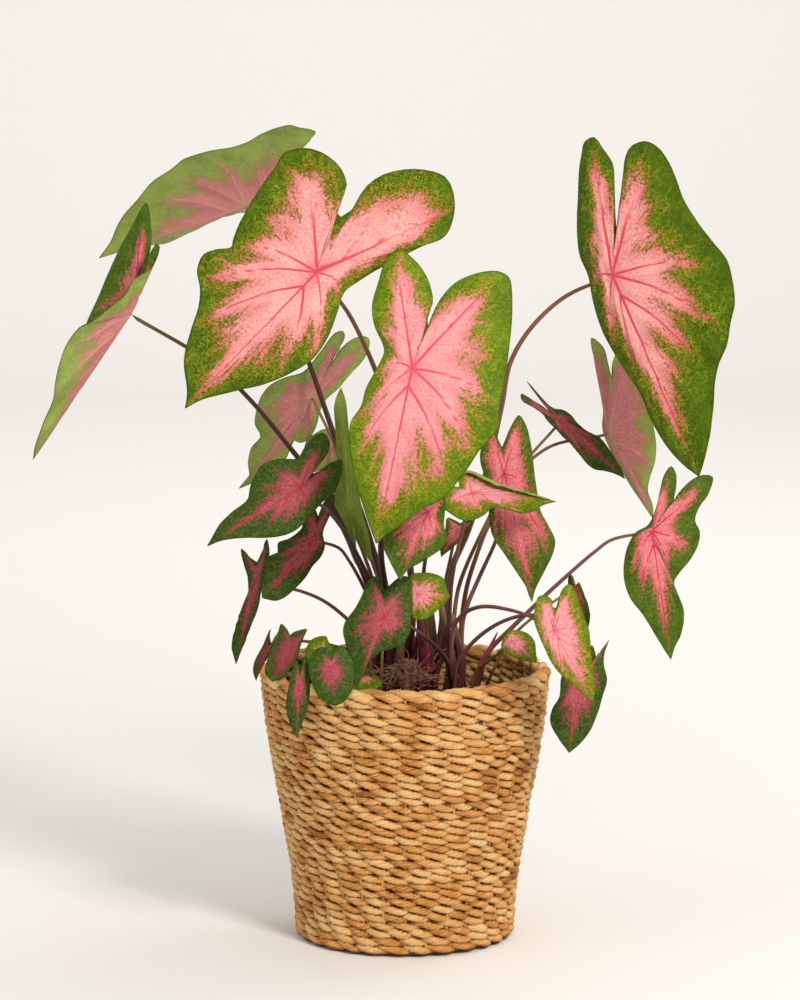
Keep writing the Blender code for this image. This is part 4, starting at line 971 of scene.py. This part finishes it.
STALK_TONES = {
    "brown": stalk_material("stalk_brown", (0.16, 0.022, 0.035), (0.145, 0.055, 0.045), (0.30, 0.20, 0.075)),
    "dark": stalk_material("stalk_dark", (0.10, 0.016, 0.022), (0.070, 0.024, 0.018), (0.20, 0.14, 0.05)),
    "mauve": stalk_material("stalk_mauve", (0.14, 0.020, 0.035), (0.25, 0.105, 0.085), (0.27, 0.155, 0.07)),
    "olive": stalk_material("stalk_olive", (0.16, 0.05, 0.04), (0.24, 0.15, 0.06), (0.33, 0.26, 0.09)),
}
STALK_LOOKS = {
    "01": "brown", "02": "dark", "03": "mauve", "04": "dark", "05": "dark", "06": "dark", "07": "brown",
    "08": "olive", "09": "brown", "10": "brown", "11": "mauve", "12": "dark", "13": "brown", "14": "olive",
    "15": "mauve", "16": "brown", "17": "olive", "18": "mauve", "19": "mauve", "20": "mauve", "21": "brown",
    "22": "olive", "23": "olive", "24": "brown", "25": "brown", "26": "olive", "27": "brown",
}
for number, look in STALK_LOOKS.items():
    stem = bmesh.new()
    centres, radii = packed_route("stalk_" + number)
    joint = JOINTS[number]
    if np.linalg.norm(joint - centres[-1]) > 0.001:
        centres = np.vstack([centres, joint])
        radii = np.append(radii, radii[-1])
    stem_tube(stem, centres, radii, STALK_AROUND, STALK_ALONG, SHEATH_SWELL)
    close_seams(stem, 1e-7)
    stalk = add_object("leaf_stalk_" + number, stem, STALK_TONES[look])
    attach(stalk, "root")
    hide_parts("stalk_" + number)

def length_of(points):
    return float(np.linalg.norm(np.diff(np.array(points)[:, :2], axis=0), axis=1).sum())


def with_depth(point):
    return tuple(point) if len(point) == 3 else (*point, 0.0)


class Margin:
    """A leaf's margin over template angle: 0 is the tip, 150 either way the lobes and 180 the notch."""

    def __init__(self, row):
        right = [with_depth(p) for p in [row["tip"], *row["right_side"], row["right_lobe"]]]
        right_cleft = [with_depth(p) for p in [row["right_lobe"], *row["right_cleft"], row["notch"]]]
        left_cleft = [with_depth(p) for p in [row["notch"], *row["left_cleft"], row["left_lobe"]]]
        left = [with_depth(p) for p in [row["left_lobe"], *row["left_side"], row["tip"]]]
        self.right = right + right_cleft[1:]
        self.left = left_cleft + left[1:]
        self.right_share = length_of(right) / length_of(self.right)
        self.left_share = length_of(left) / length_of(self.left)

    def at(self, angle):
        turn = abs(angle)
        share = self.right_share if angle >= 0 else self.left_share
        if turn <= LOBE_ANGLE:
            way = share * turn / LOBE_ANGLE
        else:
            way = share + (1 - share) * (turn - LOBE_ANGLE) / (180 - LOBE_ANGLE)
        return along_curve(self.right, way) if angle >= 0 else along_curve(self.left, 1 - way)


# The template: half of an evenly grown blade, 100 units from stalk to tip, and its veins. Every leaf's own
# outline is this one stretched, so its veins and colours follow the stretching.
TEMPLATE_SIDE = [(12, 84), (27, 64), (41, 42), (51, 18), (54, -6), (51, -30), (45, -48)]
TEMPLATE = dict(
    tip=(0, 100),
    right_side=TEMPLATE_SIDE,
    right_lobe=(35, -62),
    right_cleft=[(22, -56), (12, -42)],
    notch=(0, -27),
    left_cleft=[(-12, -42), (-22, -56)],
    left_lobe=(-35, -62),
    left_side=[(-x, y) for x, y in reversed(TEMPLATE_SIDE)],
)
MAIN_VEINS = [
    [(0, 0), (0, 50), (0, 97)],
    [(0, 0), (10, -17), (21, -35), (34, -58)],
    [(0, 0), (20, 0), (36, 3), (49, 11)],
    [(0, 0), (16, 11), (31, 27), (39, 42)],
    [(0, 10), (12, 25), (22, 44), (26, 58)],
]
SIDE_VEINS = [
    [(15, -25), (28, -29), (38, -30), (49, -26)],
    [(8, -14), (24, -17), (38, -14), (50, -8)],
    [(22, -37), (33, -42), (44, -44)],
    [(15, -26), (19, -38), (20, -52)],
    [(6, -11), (9, -24), (10, -37)],
    [(0, 32), (8, 46), (14, 60), (16, 72)],
    [(0, 50), (7, 61), (11, 74)],
    [(0, 66), (5, 76), (7, 85)],
]
MAIN_WIDTH = 0.64
SIDE_WIDTH = 0.42


def smooth_track(points, count):
    return np.array([along_curve(np.array(points) * 1000.0, step / count) for step in range(count + 1)]) / 1000.0


def vein_tracks(veins, across):
    """Both halves of the vein pattern as short straight runs, each with its share of the way out."""
    runs = []
    for vein in veins:
        track = smooth_track(vein, 10)
        for side in (-1, 1):
            if side == -1 and not np.any(track[:, 0]):
                continue
            mirrored = track * np.array([side, 1])
            mirrored[:, 1] += across * side * np.abs(mirrored[:, 0]) / 50
            for step in range(10):
                runs.append((*mirrored[step], *mirrored[step + 1], step / 10))
    return np.array(runs)


def nearest_vein(spots, runs, width):
    """How strongly each spot lies on a vein, from 0 to 1, and how far it is from the nearest one."""
    start = runs[:, 0:2]
    run = runs[:, 2:4] - start
    best = np.zeros(len(spots))
    least = np.full(len(spots), 1e9)
    for index in range(len(runs)):
        away = spots - start[index]
        share = np.clip(away @ run[index] / (run[index] @ run[index]), 0, 1)
        distance = np.linalg.norm(away - share[:, None] * run[index], axis=1)
        out = runs[index, 4] + 0.1 * share
        thick = width * (1.3 - 0.85 * out)
        best = np.maximum(best, np.exp(-((distance / thick) ** 2)) * (1 - 0.35 * out))
        least = np.minimum(least, distance + 14 * np.maximum(out - 0.8, 0))
    return best, least


def leaf_sheet(row, across, along, look):
    """The blade as a fine sheet with its vein strength, colour zone and two flat maps, before its thickness."""
    shape = bmesh.new()
    bmesh.ops.create_grid(shape, x_segments=across, y_segments=along, size=0.5)
    steps = np.array([round((vert.co.x + 0.5) * across) for vert in shape.verts])
    reach = np.array([vert.co.y + 0.5 for vert in shape.verts])
    joint = seen(*row["joint"])
    normal = np.array(row["faces"]) / np.linalg.norm(row["faces"])
    to_eye = 1.0 if normal @ FORWARD < 0 else -1.0
    joint_spot = np.array(row["joint"][:2], float)
    midrib = np.array(row["tip"][:2], float) - joint_spot
    ahead = None
    margin = Margin(row)
    pattern = Margin(TEMPLATE)
    table = []
    for step in range(across + 1):
        angle = -180 + 360 * step / across
        spot = margin.at(angle)
        direction = sight_line(spot[0], spot[1])
        flat = EYE + direction * (((joint - EYE) @ normal) / (direction @ normal))
        forward = max(0.0, (spot[:2] - joint_spot) @ midrib / (midrib @ midrib))
        bend = row["droop"] * forward**2 + row["cup"] * min(1.0, 1.0 - forward)
        sight = direction / np.linalg.norm(direction)
        table.append((*(flat - joint), *sight, spot[2], bend, *pattern.at(angle)[:2]))
    table = np.array(table)
    out = table[steps, 0:3]
    sight = table[steps, 3:6]
    roll = look.get("roll")
    reach_now = reach.copy()
    lift = np.zeros(len(reach))
    if roll:
        first, last, start, back, height = roll
        middle = (first + last) / 2
        angles = -180 + 360 * steps / across
        window = np.clip(1 - np.abs((angles - middle) / ((last - first) / 2)) ** 3, 0, 1)
        start_now = 1 - (1 - start) * window
        beyond = np.clip((reach - start_now) / np.maximum(1 - start_now, 1e-6), 0, 1)
        reach_now = np.where(reach < start_now, reach / start_now, 1 - beyond * back * window)
        lift = height * window * np.sin(np.pi / 2 * beyond)
    away = table[steps, 6] * reach_now + to_eye * table[steps, 7] * reach_now**2
    spots = joint + reach_now[:, None] * out + sight * away[:, None] + normal * lift[:, None]
    on_template = reach[:, None] * table[steps, 8:10]
    length = np.linalg.norm(seen(row["tip"][0], row["tip"][1], row["joint"][2]) - joint)
    seed = float(row["number"]) * 7.3
    main, main_gap = nearest_vein(on_template, vein_tracks(MAIN_VEINS, look.get("skew", 0.0)), MAIN_WIDTH)
    side, side_gap = nearest_vein(on_template, vein_tracks(SIDE_VEINS, look.get("skew", 0.0)), SIDE_WIDTH)
    wide_main = np.exp(-((main_gap / 4.0) ** 2))
    wide_side = np.exp(-((side_gap / 3.0) ** 2))
    ruffle = np.array([
        noise.noise((3.1 * math.cos(math.radians(360 * s / across)), 3.1 * math.sin(math.radians(360 * s / across)), seed))
        for s in range(across + 1)
    ])[steps]
    quilt = np.array([
        noise.noise((spot[0] * 0.11, spot[1] * 0.11, seed)) for spot in on_template
    ])
    relief = length * (
        0.016 * ruffle * reach**3 + 0.006 * quilt * np.minimum(1, 4 * reach) - 0.0085 * wide_main * (1 - 0.6 * reach)
        - 0.0035 * wide_side + 0.004
    ) * np.minimum(1, 5 * reach)
    spots = spots + normal * relief[:, None]
    push = look.get("push", 0.28)
    zone = look["pink"] + push * np.exp(-((main_gap / 5.5) ** 2)) + 0.4 * push * np.exp(-((side_gap / 3.5) ** 2)) - reach
    zone = zone + 0.16 * np.array([noise.noise((spot[0] * 0.06, spot[1] * 0.06, seed + 40)) for spot in on_template])
    vein_layer = shape.verts.layers.float.new("vein")
    zone_layer = shape.verts.layers.float.new("zone")
    reach_layer = shape.verts.layers.float.new("reach")
    strength = np.maximum(main, 0.62 * side)
    side_axis = np.cross(normal, midrib_direction(row, joint, normal))
    ahead = midrib_direction(row, joint, normal)
    flat_spots = np.stack([(reach[:, None] * out) @ side_axis, (reach[:, None] * out) @ ahead], axis=1)
    ways = {}
    flats = {}
    for index, vert in enumerate(shape.verts):
        vert.co = Vector(spots[index])
        vert[vein_layer] = float(strength[index])
        vert[zone_layer] = float(zone[index])
        vert[reach_layer] = float(reach[index])
        ways[vert] = (steps[index] / across + seed, reach[index])
        flats[vert] = (flat_spots[index][0] + seed, flat_spots[index][1])
    add_uv(shape, ways, "rays")
    add_uv(shape, flats, "flat")
    bmesh.ops.remove_doubles(shape, verts=shape.verts, dist=1e-7)
    bmesh.ops.reverse_faces(shape, faces=shape.faces)
    return shape


def midrib_direction(row, joint, normal):
    """Unit vector in the blade's plane from the stalk to the tip."""
    direction = sight_line(*row["tip"][:2])
    tip = EYE + direction * (((joint - EYE) @ normal) / (direction @ normal))
    return (tip - joint) / np.linalg.norm(tip - joint)


def leaf_material(name, pale, pink, rose, speckle, green, net, sheen, net_share, vein_share=1.0):
    """Blade skin: a pink heart that runs out in ragged streaks along the veins, a speckled brown and orange
    border where it meets the green, and a paler net of small veins over the green."""
    made, nodes, links, shader = node_material(name)

    def node(kind, **values):
        new = nodes.new(kind)
        for key, value in values.items():
            setattr(new, key, value)
        return new

    def maths(operation, first, second, third=None):
        new = node("ShaderNodeMath", operation=operation)
        for index, value in enumerate((first, second, third)):
            if value is None:
                continue
            if isinstance(value, (int, float)):
                new.inputs[index].default_value = value
            else:
                links.new(value, new.inputs[index])
        return new.outputs["Value"]

    def ranged(value, low, high, bottom=0.0, top=1.0):
        new = node("ShaderNodeMapRange", interpolation_type="SMOOTHSTEP")
        new.inputs["From Min"].default_value = low
        new.inputs["From Max"].default_value = high
        new.inputs["To Min"].default_value = bottom
        new.inputs["To Max"].default_value = top
        links.new(value, new.inputs["Value"])
        return new.outputs["Result"]

    def mixed(factor, first, second, blend="MIX"):
        new = node("ShaderNodeMix", data_type="RGBA", blend_type=blend)
        links.new(factor, new.inputs["Factor"])
        for key, value in (("A", first), ("B", second)):
            if isinstance(value, tuple):
                new.inputs[key].default_value = (*value, 1.0)
            else:
                links.new(value, new.inputs[key])
        return new.outputs["Result"]

    def mapped_noise(uv_name, scale, detail, rough=0.6, distortion=0.0):
        uv = node("ShaderNodeUVMap", uv_map=uv_name)
        mapping = node("ShaderNodeMapping")
        mapping.inputs["Scale"].default_value = scale
        texture = node("ShaderNodeTexNoise")
        texture.inputs["Scale"].default_value = 1.0
        texture.inputs["Detail"].default_value = detail
        texture.inputs["Roughness"].default_value = rough
        texture.inputs["Distortion"].default_value = distortion
        links.new(uv.outputs["UV"], mapping.inputs["Vector"])
        links.new(mapping.outputs["Vector"], texture.inputs["Vector"])
        return texture.outputs["Fac"]

    vein = node("ShaderNodeAttribute", attribute_name="vein").outputs["Fac"]
    zone = node("ShaderNodeAttribute", attribute_name="zone").outputs["Fac"]
    reach = node("ShaderNodeAttribute", attribute_name="reach").outputs["Fac"]
    streaks = mapped_noise("rays", (70.0, 5.5, 1.0), 5.0, 0.66, 0.9)
    specks = mapped_noise("flat", (520.0, 520.0, 1.0), 3.0, 0.7)
    broad = mapped_noise("flat", (45.0, 45.0, 1.0), 3.0)
    edge = maths("MULTIPLY_ADD", maths("SUBTRACT", streaks, 0.5), 1.05, zone)
    edge = maths("MULTIPLY_ADD", maths("SUBTRACT", specks, 0.5), 0.45, edge)
    heart = ranged(edge, -0.12, 0.17)
    border = ranged(edge, -0.26, 0.02)

    # Small veins: thin wandering lines where a soft noise passes its middle value, coarse and fine.
    coarse = mapped_noise("flat", (150.0, 210.0, 1.0), 2.0, 0.5, 1.2)
    fine = mapped_noise("flat", (330.0, 430.0, 1.0), 1.0, 0.5, 0.8)
    coarse_lines = ranged(maths("ABSOLUTE", maths("SUBTRACT", coarse, 0.5), None), 0.042, 0.008)
    fine_lines = ranged(maths("ABSOLUTE", maths("SUBTRACT", fine, 0.5), None), 0.060, 0.010, 0.0, 0.6)
    net_lines = maths("MAXIMUM", coarse_lines, fine_lines)
    near_heart = ranged(zone, -0.55, -0.10, 0.30, net_share)
    net_mask = maths("MULTIPLY", net_lines, near_heart)

    green_tone = mixed(ranged(broad, 0.3, 0.7), tuple(c * 0.80 for c in green), tuple(c * 1.25 for c in green))
    ray_lines = ranged(streaks, 0.56, 0.68, 0.0, 0.75)
    green_tone = mixed(maths("MULTIPLY", ray_lines, near_heart), green_tone, net)
    green_tone = mixed(net_mask, green_tone, net)
    green_tone = mixed(ranged(vein, 0.45, 1.0, 0.0, 0.35), green_tone, net)
    pink_tone = mixed(ranged(specks, 0.38, 0.66), pink, pale)
    pink_tone = mixed(ranged(broad, 0.35, 0.65, 0.0, 0.45), pink_tone, pale)
    pink_tone = mixed(ranged(zone, 0.32, 0.0, 0.0, 0.75), pink_tone, pink)
    pink_tone = mixed(maths("MULTIPLY", ranged(streaks, 0.5, 0.68, 0.0, 0.45), ranged(zone, 0.5, 0.1)), pink_tone, rose)
    pink_tone = mixed(ranged(reach, 0.22, 0.03, 0.0, 0.45), pink_tone, rose)
    border_tone = mixed(ranged(specks, 0.42, 0.6), green, speckle)
    skin = mixed(border, green_tone, border_tone)
    skin = mixed(heart, skin, pink_tone)
    vein_show = maths("MULTIPLY", ranged(vein, 0.15, 0.75), ranged(edge, -0.28, 0.0, 0.08, vein_share))
    skin = mixed(vein_show, skin, rose)
    rim = ranged(reach, 0.975, 0.997, 0.0, 0.5)
    skin = mixed(rim, skin, tuple(c * 0.6 for c in green))
    links.new(skin, shader.inputs["Base Color"])
    shader.inputs["Roughness"].default_value = sheen
    shader.inputs["Specular IOR Level"].default_value = 0.06
    relief = node("ShaderNodeBump")
    relief.inputs["Strength"].default_value = 0.35
    relief.inputs["Distance"].default_value = 0.0005
    height = maths("MULTIPLY_ADD", net_lines, -0.6, maths("MULTIPLY", streaks, 0.9))
    links.new(height, relief.inputs["Height"])
    links.new(relief.outputs["Normal"], shader.inputs["Normal"])
    return made


GREEN = (0.046, 0.092, 0.003)
FRESH_GREEN = (0.078, 0.142, 0.003)
DARK_GREEN = (0.026, 0.058, 0.004)
UNDER_GREEN = (0.235, 0.315, 0.060)
SKINS = {
    "deep": leaf_material(
        "leaf_deep", (0.84, 0.45, 0.40), (0.74, 0.22, 0.21), (0.62, 0.065, 0.11), (0.50, 0.17, 0.025),
        GREEN, (0.26, 0.31, 0.018), 0.42, 1.0,
    ),
    "bright": leaf_material(
        "leaf_bright", (0.80, 0.37, 0.37), (0.71, 0.21, 0.225), (0.62, 0.085, 0.13), (0.52, 0.22, 0.035),
        FRESH_GREEN, (0.27, 0.33, 0.018), 0.42, 0.95,
    ),
    "rose": leaf_material(
        "leaf_rose", (0.72, 0.25, 0.25), (0.60, 0.11, 0.13), (0.48, 0.025, 0.065), (0.36, 0.15, 0.05),
        GREEN, (0.20, 0.27, 0.06), 0.45, 0.4,
    ),
    "dark": leaf_material(
        "leaf_dark", (0.44, 0.125, 0.12), (0.30, 0.05, 0.06), (0.40, 0.03, 0.06), (0.17, 0.10, 0.04),
        DARK_GREEN, (0.17, 0.22, 0.07), 0.45, 0.45,
    ),
    "furled": leaf_material(
        "leaf_furled", (0.34, 0.42, 0.09), (0.30, 0.39, 0.07), (0.40, 0.48, 0.13), (0.28, 0.37, 0.06),
        (0.22, 0.32, 0.04), (0.42, 0.50, 0.14), 0.45, 0.5,
    ),
    "under": leaf_material(
        "leaf_under", (0.62, 0.25, 0.25), (0.52, 0.155, 0.165), (0.60, 0.33, 0.22), (0.38, 0.25, 0.10),
        UNDER_GREEN, (0.36, 0.43, 0.16), 0.55, 0.8, 0.9,
    ),
    "under_dark": leaf_material(
        "leaf_under_dark", (0.40, 0.15, 0.14), (0.30, 0.08, 0.08), (0.42, 0.22, 0.15), (0.22, 0.15, 0.07),
        (0.14, 0.19, 0.06), (0.22, 0.27, 0.10), 0.55, 0.5,
    ),
}
SKINS["maroon"] = leaf_material(
    "leaf_maroon", (0.30, 0.07, 0.07), (0.19, 0.030, 0.036), (0.34, 0.02, 0.05), (0.11, 0.06, 0.03),
    DARK_GREEN, (0.13, 0.17, 0.05), 0.42, 0.4,
)
LOOKS = {
    "01": dict(skin="deep", under="under", pink=0.56, skew=2.0),
    "02": dict(skin="bright", under="under", pink=0.53),
    "03": dict(skin="deep", under="under", pink=0.40, skew=-2.0),
    "04": dict(skin="rose", under="under", pink=0.40),
    "05": dict(skin="rose", under="under", pink=0.42),
    "06": dict(skin="dark", under="under_dark", pink=0.44, push=0.2),
    "07": dict(skin="rose", under="under", pink=0.50),
    "08": dict(skin="rose", under="under", pink=0.40),
    "09": dict(skin="furled", under="furled", pink=0.2),
    "10": dict(skin="dark", under="under_dark", pink=0.46, push=0.2),
    "11": dict(skin="dark", under="under_dark", pink=0.45),
    "12": dict(skin="dark", under="under_dark", pink=0.46, push=0.18),
    "13": dict(skin="rose", under="under", pink=0.50, push=0.18),
    "14": dict(skin="bright", under="under", pink=0.40),
    "15": dict(skin="rose", under="under_dark", pink=0.66, push=0.14),
    "16": dict(skin="bright", under="under", pink=0.50, push=0.16, roll=(8, 172, 0.70, 0.30, 0.004)),
    "17": dict(skin="dark", under="under_dark", pink=0.45),
    "18": dict(skin="rose", under="under", pink=0.62),
    "19": dict(skin="rose", under="under_dark", pink=0.46, push=0.24),
    "20": dict(skin="bright", under="under", pink=0.62, push=0.14),
    "21": dict(skin="dark", under="under_dark", pink=0.50, push=0.16),
    "22": dict(skin="bright", under="under", pink=0.52, push=0.14),
    "23": dict(skin="maroon", under="under_dark", pink=0.60, push=0.16),
    "24": dict(skin="maroon", under="under_dark", pink=0.55, push=0.16),
    "25": dict(skin="dark", under="under_dark", pink=0.36, push=0.2),
    "26": dict(skin="dark", under="under_dark", pink=0.32, push=0.2),
    "27": dict(skin="rose", under="under_dark", pink=0.50),
}
BLADE_THICKNESS = 0.0007


def finish_blade(row, name, node, across, along, look):
    blade = add_object(name, leaf_sheet(row, across, along, look), SKINS[look["skin"]], SKINS[look["under"]])
    thickness = blade.modifiers.new("thickness", "SOLIDIFY")
    thickness.thickness = BLADE_THICKNESS
    thickness.offset = -1.0
    thickness.material_offset = 1
    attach(blade, "root")
    if node:
        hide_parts(node)
    return blade


for row in LEAVES:
    number = row["number"]
    low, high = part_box("blade_" + number)
    size = max(b - a for a, b in zip(low, high))
    across, along = (180, 76) if size > 0.165 else (120, 46) if size > 0.07 else (84, 30)
    finish_blade(row, "leaf_blade_" + number, "blade_" + number, across, along, LOOKS[number])

# Young growth: small leaves still half open low in the clump, a rolled bud, and the short sheaths and cut
# stem ends that crowd round the foot of the stalks. They are too small to be solids of the frame.
YOUNG_LEAVES = [
    dict(
        number="31", joint=(577, 590, -0.01), faces=(-0.6, -0.75, 0.1), tip=(588, 628),
        right_side=[(590, 615), (587, 602)],
        right_lobe=(579, 582), notch=(575, 586), left_lobe=(570, 571),
        right_cleft=[(577, 584)],
        left_cleft=[(573, 580)],
        left_side=[(568, 582), (571, 595), (578, 610)],
        droop=0.004, cup=0.001,
    ),
    dict(
        number="32", joint=(322, 650, -0.085), faces=(0.1, -0.9, 0.3), tip=(310, 664),
        right_side=[(318, 665), (330, 662)],
        right_lobe=(343, 652), notch=(330, 645), left_lobe=(326, 636),
        right_cleft=[(338, 646)],
        left_cleft=[(328, 640)],
        left_side=[(314, 638), (307, 646), (306, 656)],
        droop=0.004, cup=0.002,
    ),
    dict(
        number="33", joint=(366, 677, -0.075), faces=(0.0, -0.8, 0.6), tip=(352, 690),
        right_side=[(362, 692), (372, 691)],
        right_lobe=(382, 684), notch=(374, 676), left_lobe=(374, 670),
        right_cleft=[(378, 679)],
        left_cleft=[(374, 673)],
        left_side=[(364, 670), (356, 676), (352, 684)],
        droop=0.003, cup=0.001,
    ),
]
YOUNG_LOOKS = {
    "31": dict(skin="dark", under="under_dark", pink=0.35),
    "32": dict(skin="bright", under="under", pink=0.10),
    "33": dict(skin="bright", under="under", pink=0.05),
}
for row in YOUNG_LEAVES:
    finish_blade(row, "young_leaf_" + row["number"], None, 64, 22, YOUNG_LOOKS[row["number"]])

# Each: name, tone, foot on the soil, the points that it passes, and radii from foot to end in metres.
SHORT_STEMS = [
    ("sheath_1", "magenta", (0.010, -0.012), [(426, 665, -0.014), (424, 640, -0.014), (420, 612, -0.012)], (0.0052, 0.0058, 0.0030)),
    ("sheath_2", "dark", (-0.006, -0.022), [(399, 668, -0.026), (400, 655, -0.028), (402, 640, -0.026)], (0.0048, 0.0045, 0.0022)),
    ("sheath_3", "brown", (0.030, -0.006), [(452, 676, -0.01), (446, 640, -0.008), (441, 604, -0.006)], (0.0045, 0.0040, 0.0022)),
    ("sheath_4", "magenta", (-0.012, -0.014), [(392, 672, -0.016), (391, 650, -0.014), (389, 628, -0.012)], (0.0045, 0.0042, 0.0024)),
    ("sheath_5", "dark", (0.018, 0.004), [(434, 668, 0.003), (432, 640, 0.002), (430, 606, 0.0)], (0.0050, 0.0046, 0.0026)),
    ("sheath_6", "magenta", (0.002, 0.014), [(412, 660, 0.013), (411, 640, 0.012), (409, 615, 0.01)], (0.0048, 0.0044, 0.0024)),
    ("sheath_7", "brown", (0.036, 0.008), [(461, 668, 0.006), (457, 640, 0.004), (451, 612, 0.0)], (0.0042, 0.0038, 0.0020)),
    ("thin_stem", "olive", (-0.018, -0.040), [(381, 676, -0.05), (382, 660, -0.052), (383, 645, -0.05)], (0.0014, 0.0013, 0.0009)),
    ("rolled_bud", "bud", (0.046, -0.014), [(482, 664, -0.016), (489, 650, -0.018), (498, 631, -0.02)], (0.0016, 0.0034, 0.0004)),
    ("young_stem_31", "olive", (0.050, 0.004), [(510, 640, -0.004), (548, 606, -0.008), (574, 588, -0.008)], (0.0013, 0.0012, 0.0009)),
    ("young_stem_32", "olive", (-0.040, -0.034), [(362, 668, -0.06), (344, 655, -0.078), (326, 651, -0.083)], (0.0012, 0.0011, 0.0008)),
    ("young_stem_33", "olive", (-0.030, -0.046), [(378, 684, -0.064), (372, 681, -0.07)], (0.0011, 0.0010, 0.0008)),
]
STALK_TONES["magenta"] = stalk_material("sheath_magenta", (0.19, 0.018, 0.045), (0.15, 0.014, 0.034), (0.20, 0.05, 0.05))
STALK_TONES["bud"] = stalk_material("rolled_bud", (0.16, 0.03, 0.04), (0.36, 0.09, 0.11), (0.30, 0.07, 0.09))
for name, tone, (foot_x, foot_y), route, radii in SHORT_STEMS:
    stem = bmesh.new()
    foot = np.array([foot_x, foot_y, soil_height(foot_x, foot_y) - 0.001])
    centres = np.array([foot, *[seen(*spot) for spot in route]])
    stem_tube(stem, centres, np.array(radii), STALK_AROUND, 30, 0.15)
    close_seams(stem, 1e-7)
    piece = add_object(name, stem, STALK_TONES[tone])
    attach(piece, "root")
